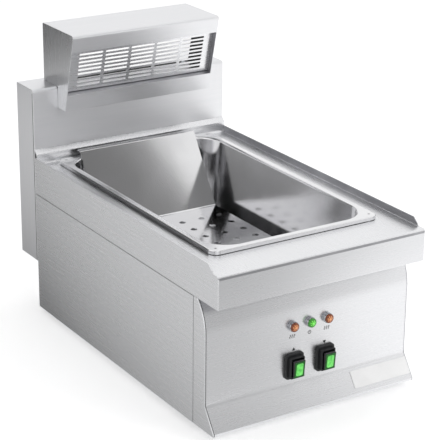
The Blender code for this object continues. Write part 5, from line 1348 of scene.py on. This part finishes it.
def makeInside(setup):
    turnPiece("leadGrommet", setup["grommet"], 36, blackRubber, ["lead_grommet"], 40,
              Matrix.Translation(setup["grommetPlace"]) @ rearwards)
    sideways = Matrix.Rotation(-math.pi / 2, 4, "Y")
    for name, nodeName in setup["discs"].items():
        low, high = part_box(nodeName)
        at = Matrix.Translation((setup["wellX"], (low.y + high.y) / 2, (low.z + high.z) / 2)) @ sideways
        turnPiece(name, setup["disc"], 40, blackMoulding, [nodeName], 40, at)
        bm = bmesh.new()
        halfX, halfY, corner, start, end = (size * mm for size in setup["tab"])
        for offset in (-setup["tabOffset"] * mm, setup["tabOffset"] * mm):
            roundedBar(bm, halfX, halfY, corner, 2, start, end, at @ Matrix.Translation((offset, 0, 0)))
        facesTurned(bm)
        makePiece(name + "Tabs", bm, zincPlate, [], 40)
    for name, nodeName in (("elementNutLeft", "element_nut_left"), ("elementNutRight", "element_nut_right")):
        low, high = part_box(nodeName)
        at = Matrix.Translation(((low.x + high.x) / 2, high.y, (low.z + high.z) / 2)) @ outwards
        makePiece(name, boredHex(*setup["elementNut"]), turnedBrass, [nodeName], 30, at=at)
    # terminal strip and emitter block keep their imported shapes, with moulded edges and brass screws
    for name, nodeName, finish, radius in (("terminalStrip", "terminal_block", whiteMoulding, 0.7 * mm),
                                           ("emitterBlock", "emitter_block", steatite, 1.2 * mm)):
        bm = mergedCopy(nodeName)
        roundSharpEdges(bm, radius, 3, 50, lambda edge: edge.calc_length() > setup["mouldEdge"])
        makePiece(name, bm, finish, [nodeName], 35, True)
    low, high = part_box("terminal_block")
    bm = bmesh.new()
    for way in range(setup["ways"]):
        x = low.x + (way + 0.5) * (high.x - low.x) / setup["ways"]
        turnProfile(bm, setup["clampScrew"], 20, Matrix.Translation((x, (low.y + high.y) / 2, high.z)))
    facesTurned(bm)
    makePiece("terminalScrews", bm, turnedBrass, [], 40)
    # heater tube and leads keep their packed runs
    for name, nodeName, finish in (("lowerElement", "lower_element", heatedSheath),
                                   ("hoodLeads", "hood_leads", siliconeSleeve),
                                   ("controlLoom", "control_loom", siliconeSleeve)):
        bm = bmesh.new()
        bm.from_mesh(nodes[nodeName].data)
        bmesh.ops.remove_doubles(bm, verts=bm.verts, dist=welded)
        bmesh.ops.join_triangles(bm, faces=bm.faces, angle_face_threshold=0.9, angle_shape_threshold=3.1)
        makePiece(name, bm, finish, [nodeName], 60)


makeInside(insideWork)

# insulation under the well: a cut slab with a loose, uneven face
woolWork = {"inset": 1.2 * mm, "spacing": 9 * mm, "swell": 0.77 * mm, "wave": 30 * mm}


def makeWool(setup):
    low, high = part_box("well_insulation")
    bm = bmesh.new()
    inset = Vector((1, 1, 1)) * setup["inset"]
    addBox(bm, low + inset, high - inset)
    for axis in range(3):
        among = [edge for edge in bm.edges if abs((edge.verts[0].co - edge.verts[1].co)[axis]) > touching]
        cuts = int(among[0].calc_length() / setup["spacing"])
        bmesh.ops.subdivide_edges(bm, edges=among, cuts=cuts, use_grid_fill=True)
    bm.normal_update()
    for vert in bm.verts:
        shift = noise.noise(vert.co / setup["wave"]) + 0.6 * noise.noise(vert.co / setup["wave"] * 4)
        vert.co += vert.normal * shift * setup["swell"]
    facesTurned(bm)
    makePiece("woolSlab", bm, mineralWool, ["well_insulation"], 60)


makeWool(woolWork)
print("inner parts are in")

bpy.context.view_layer.update()
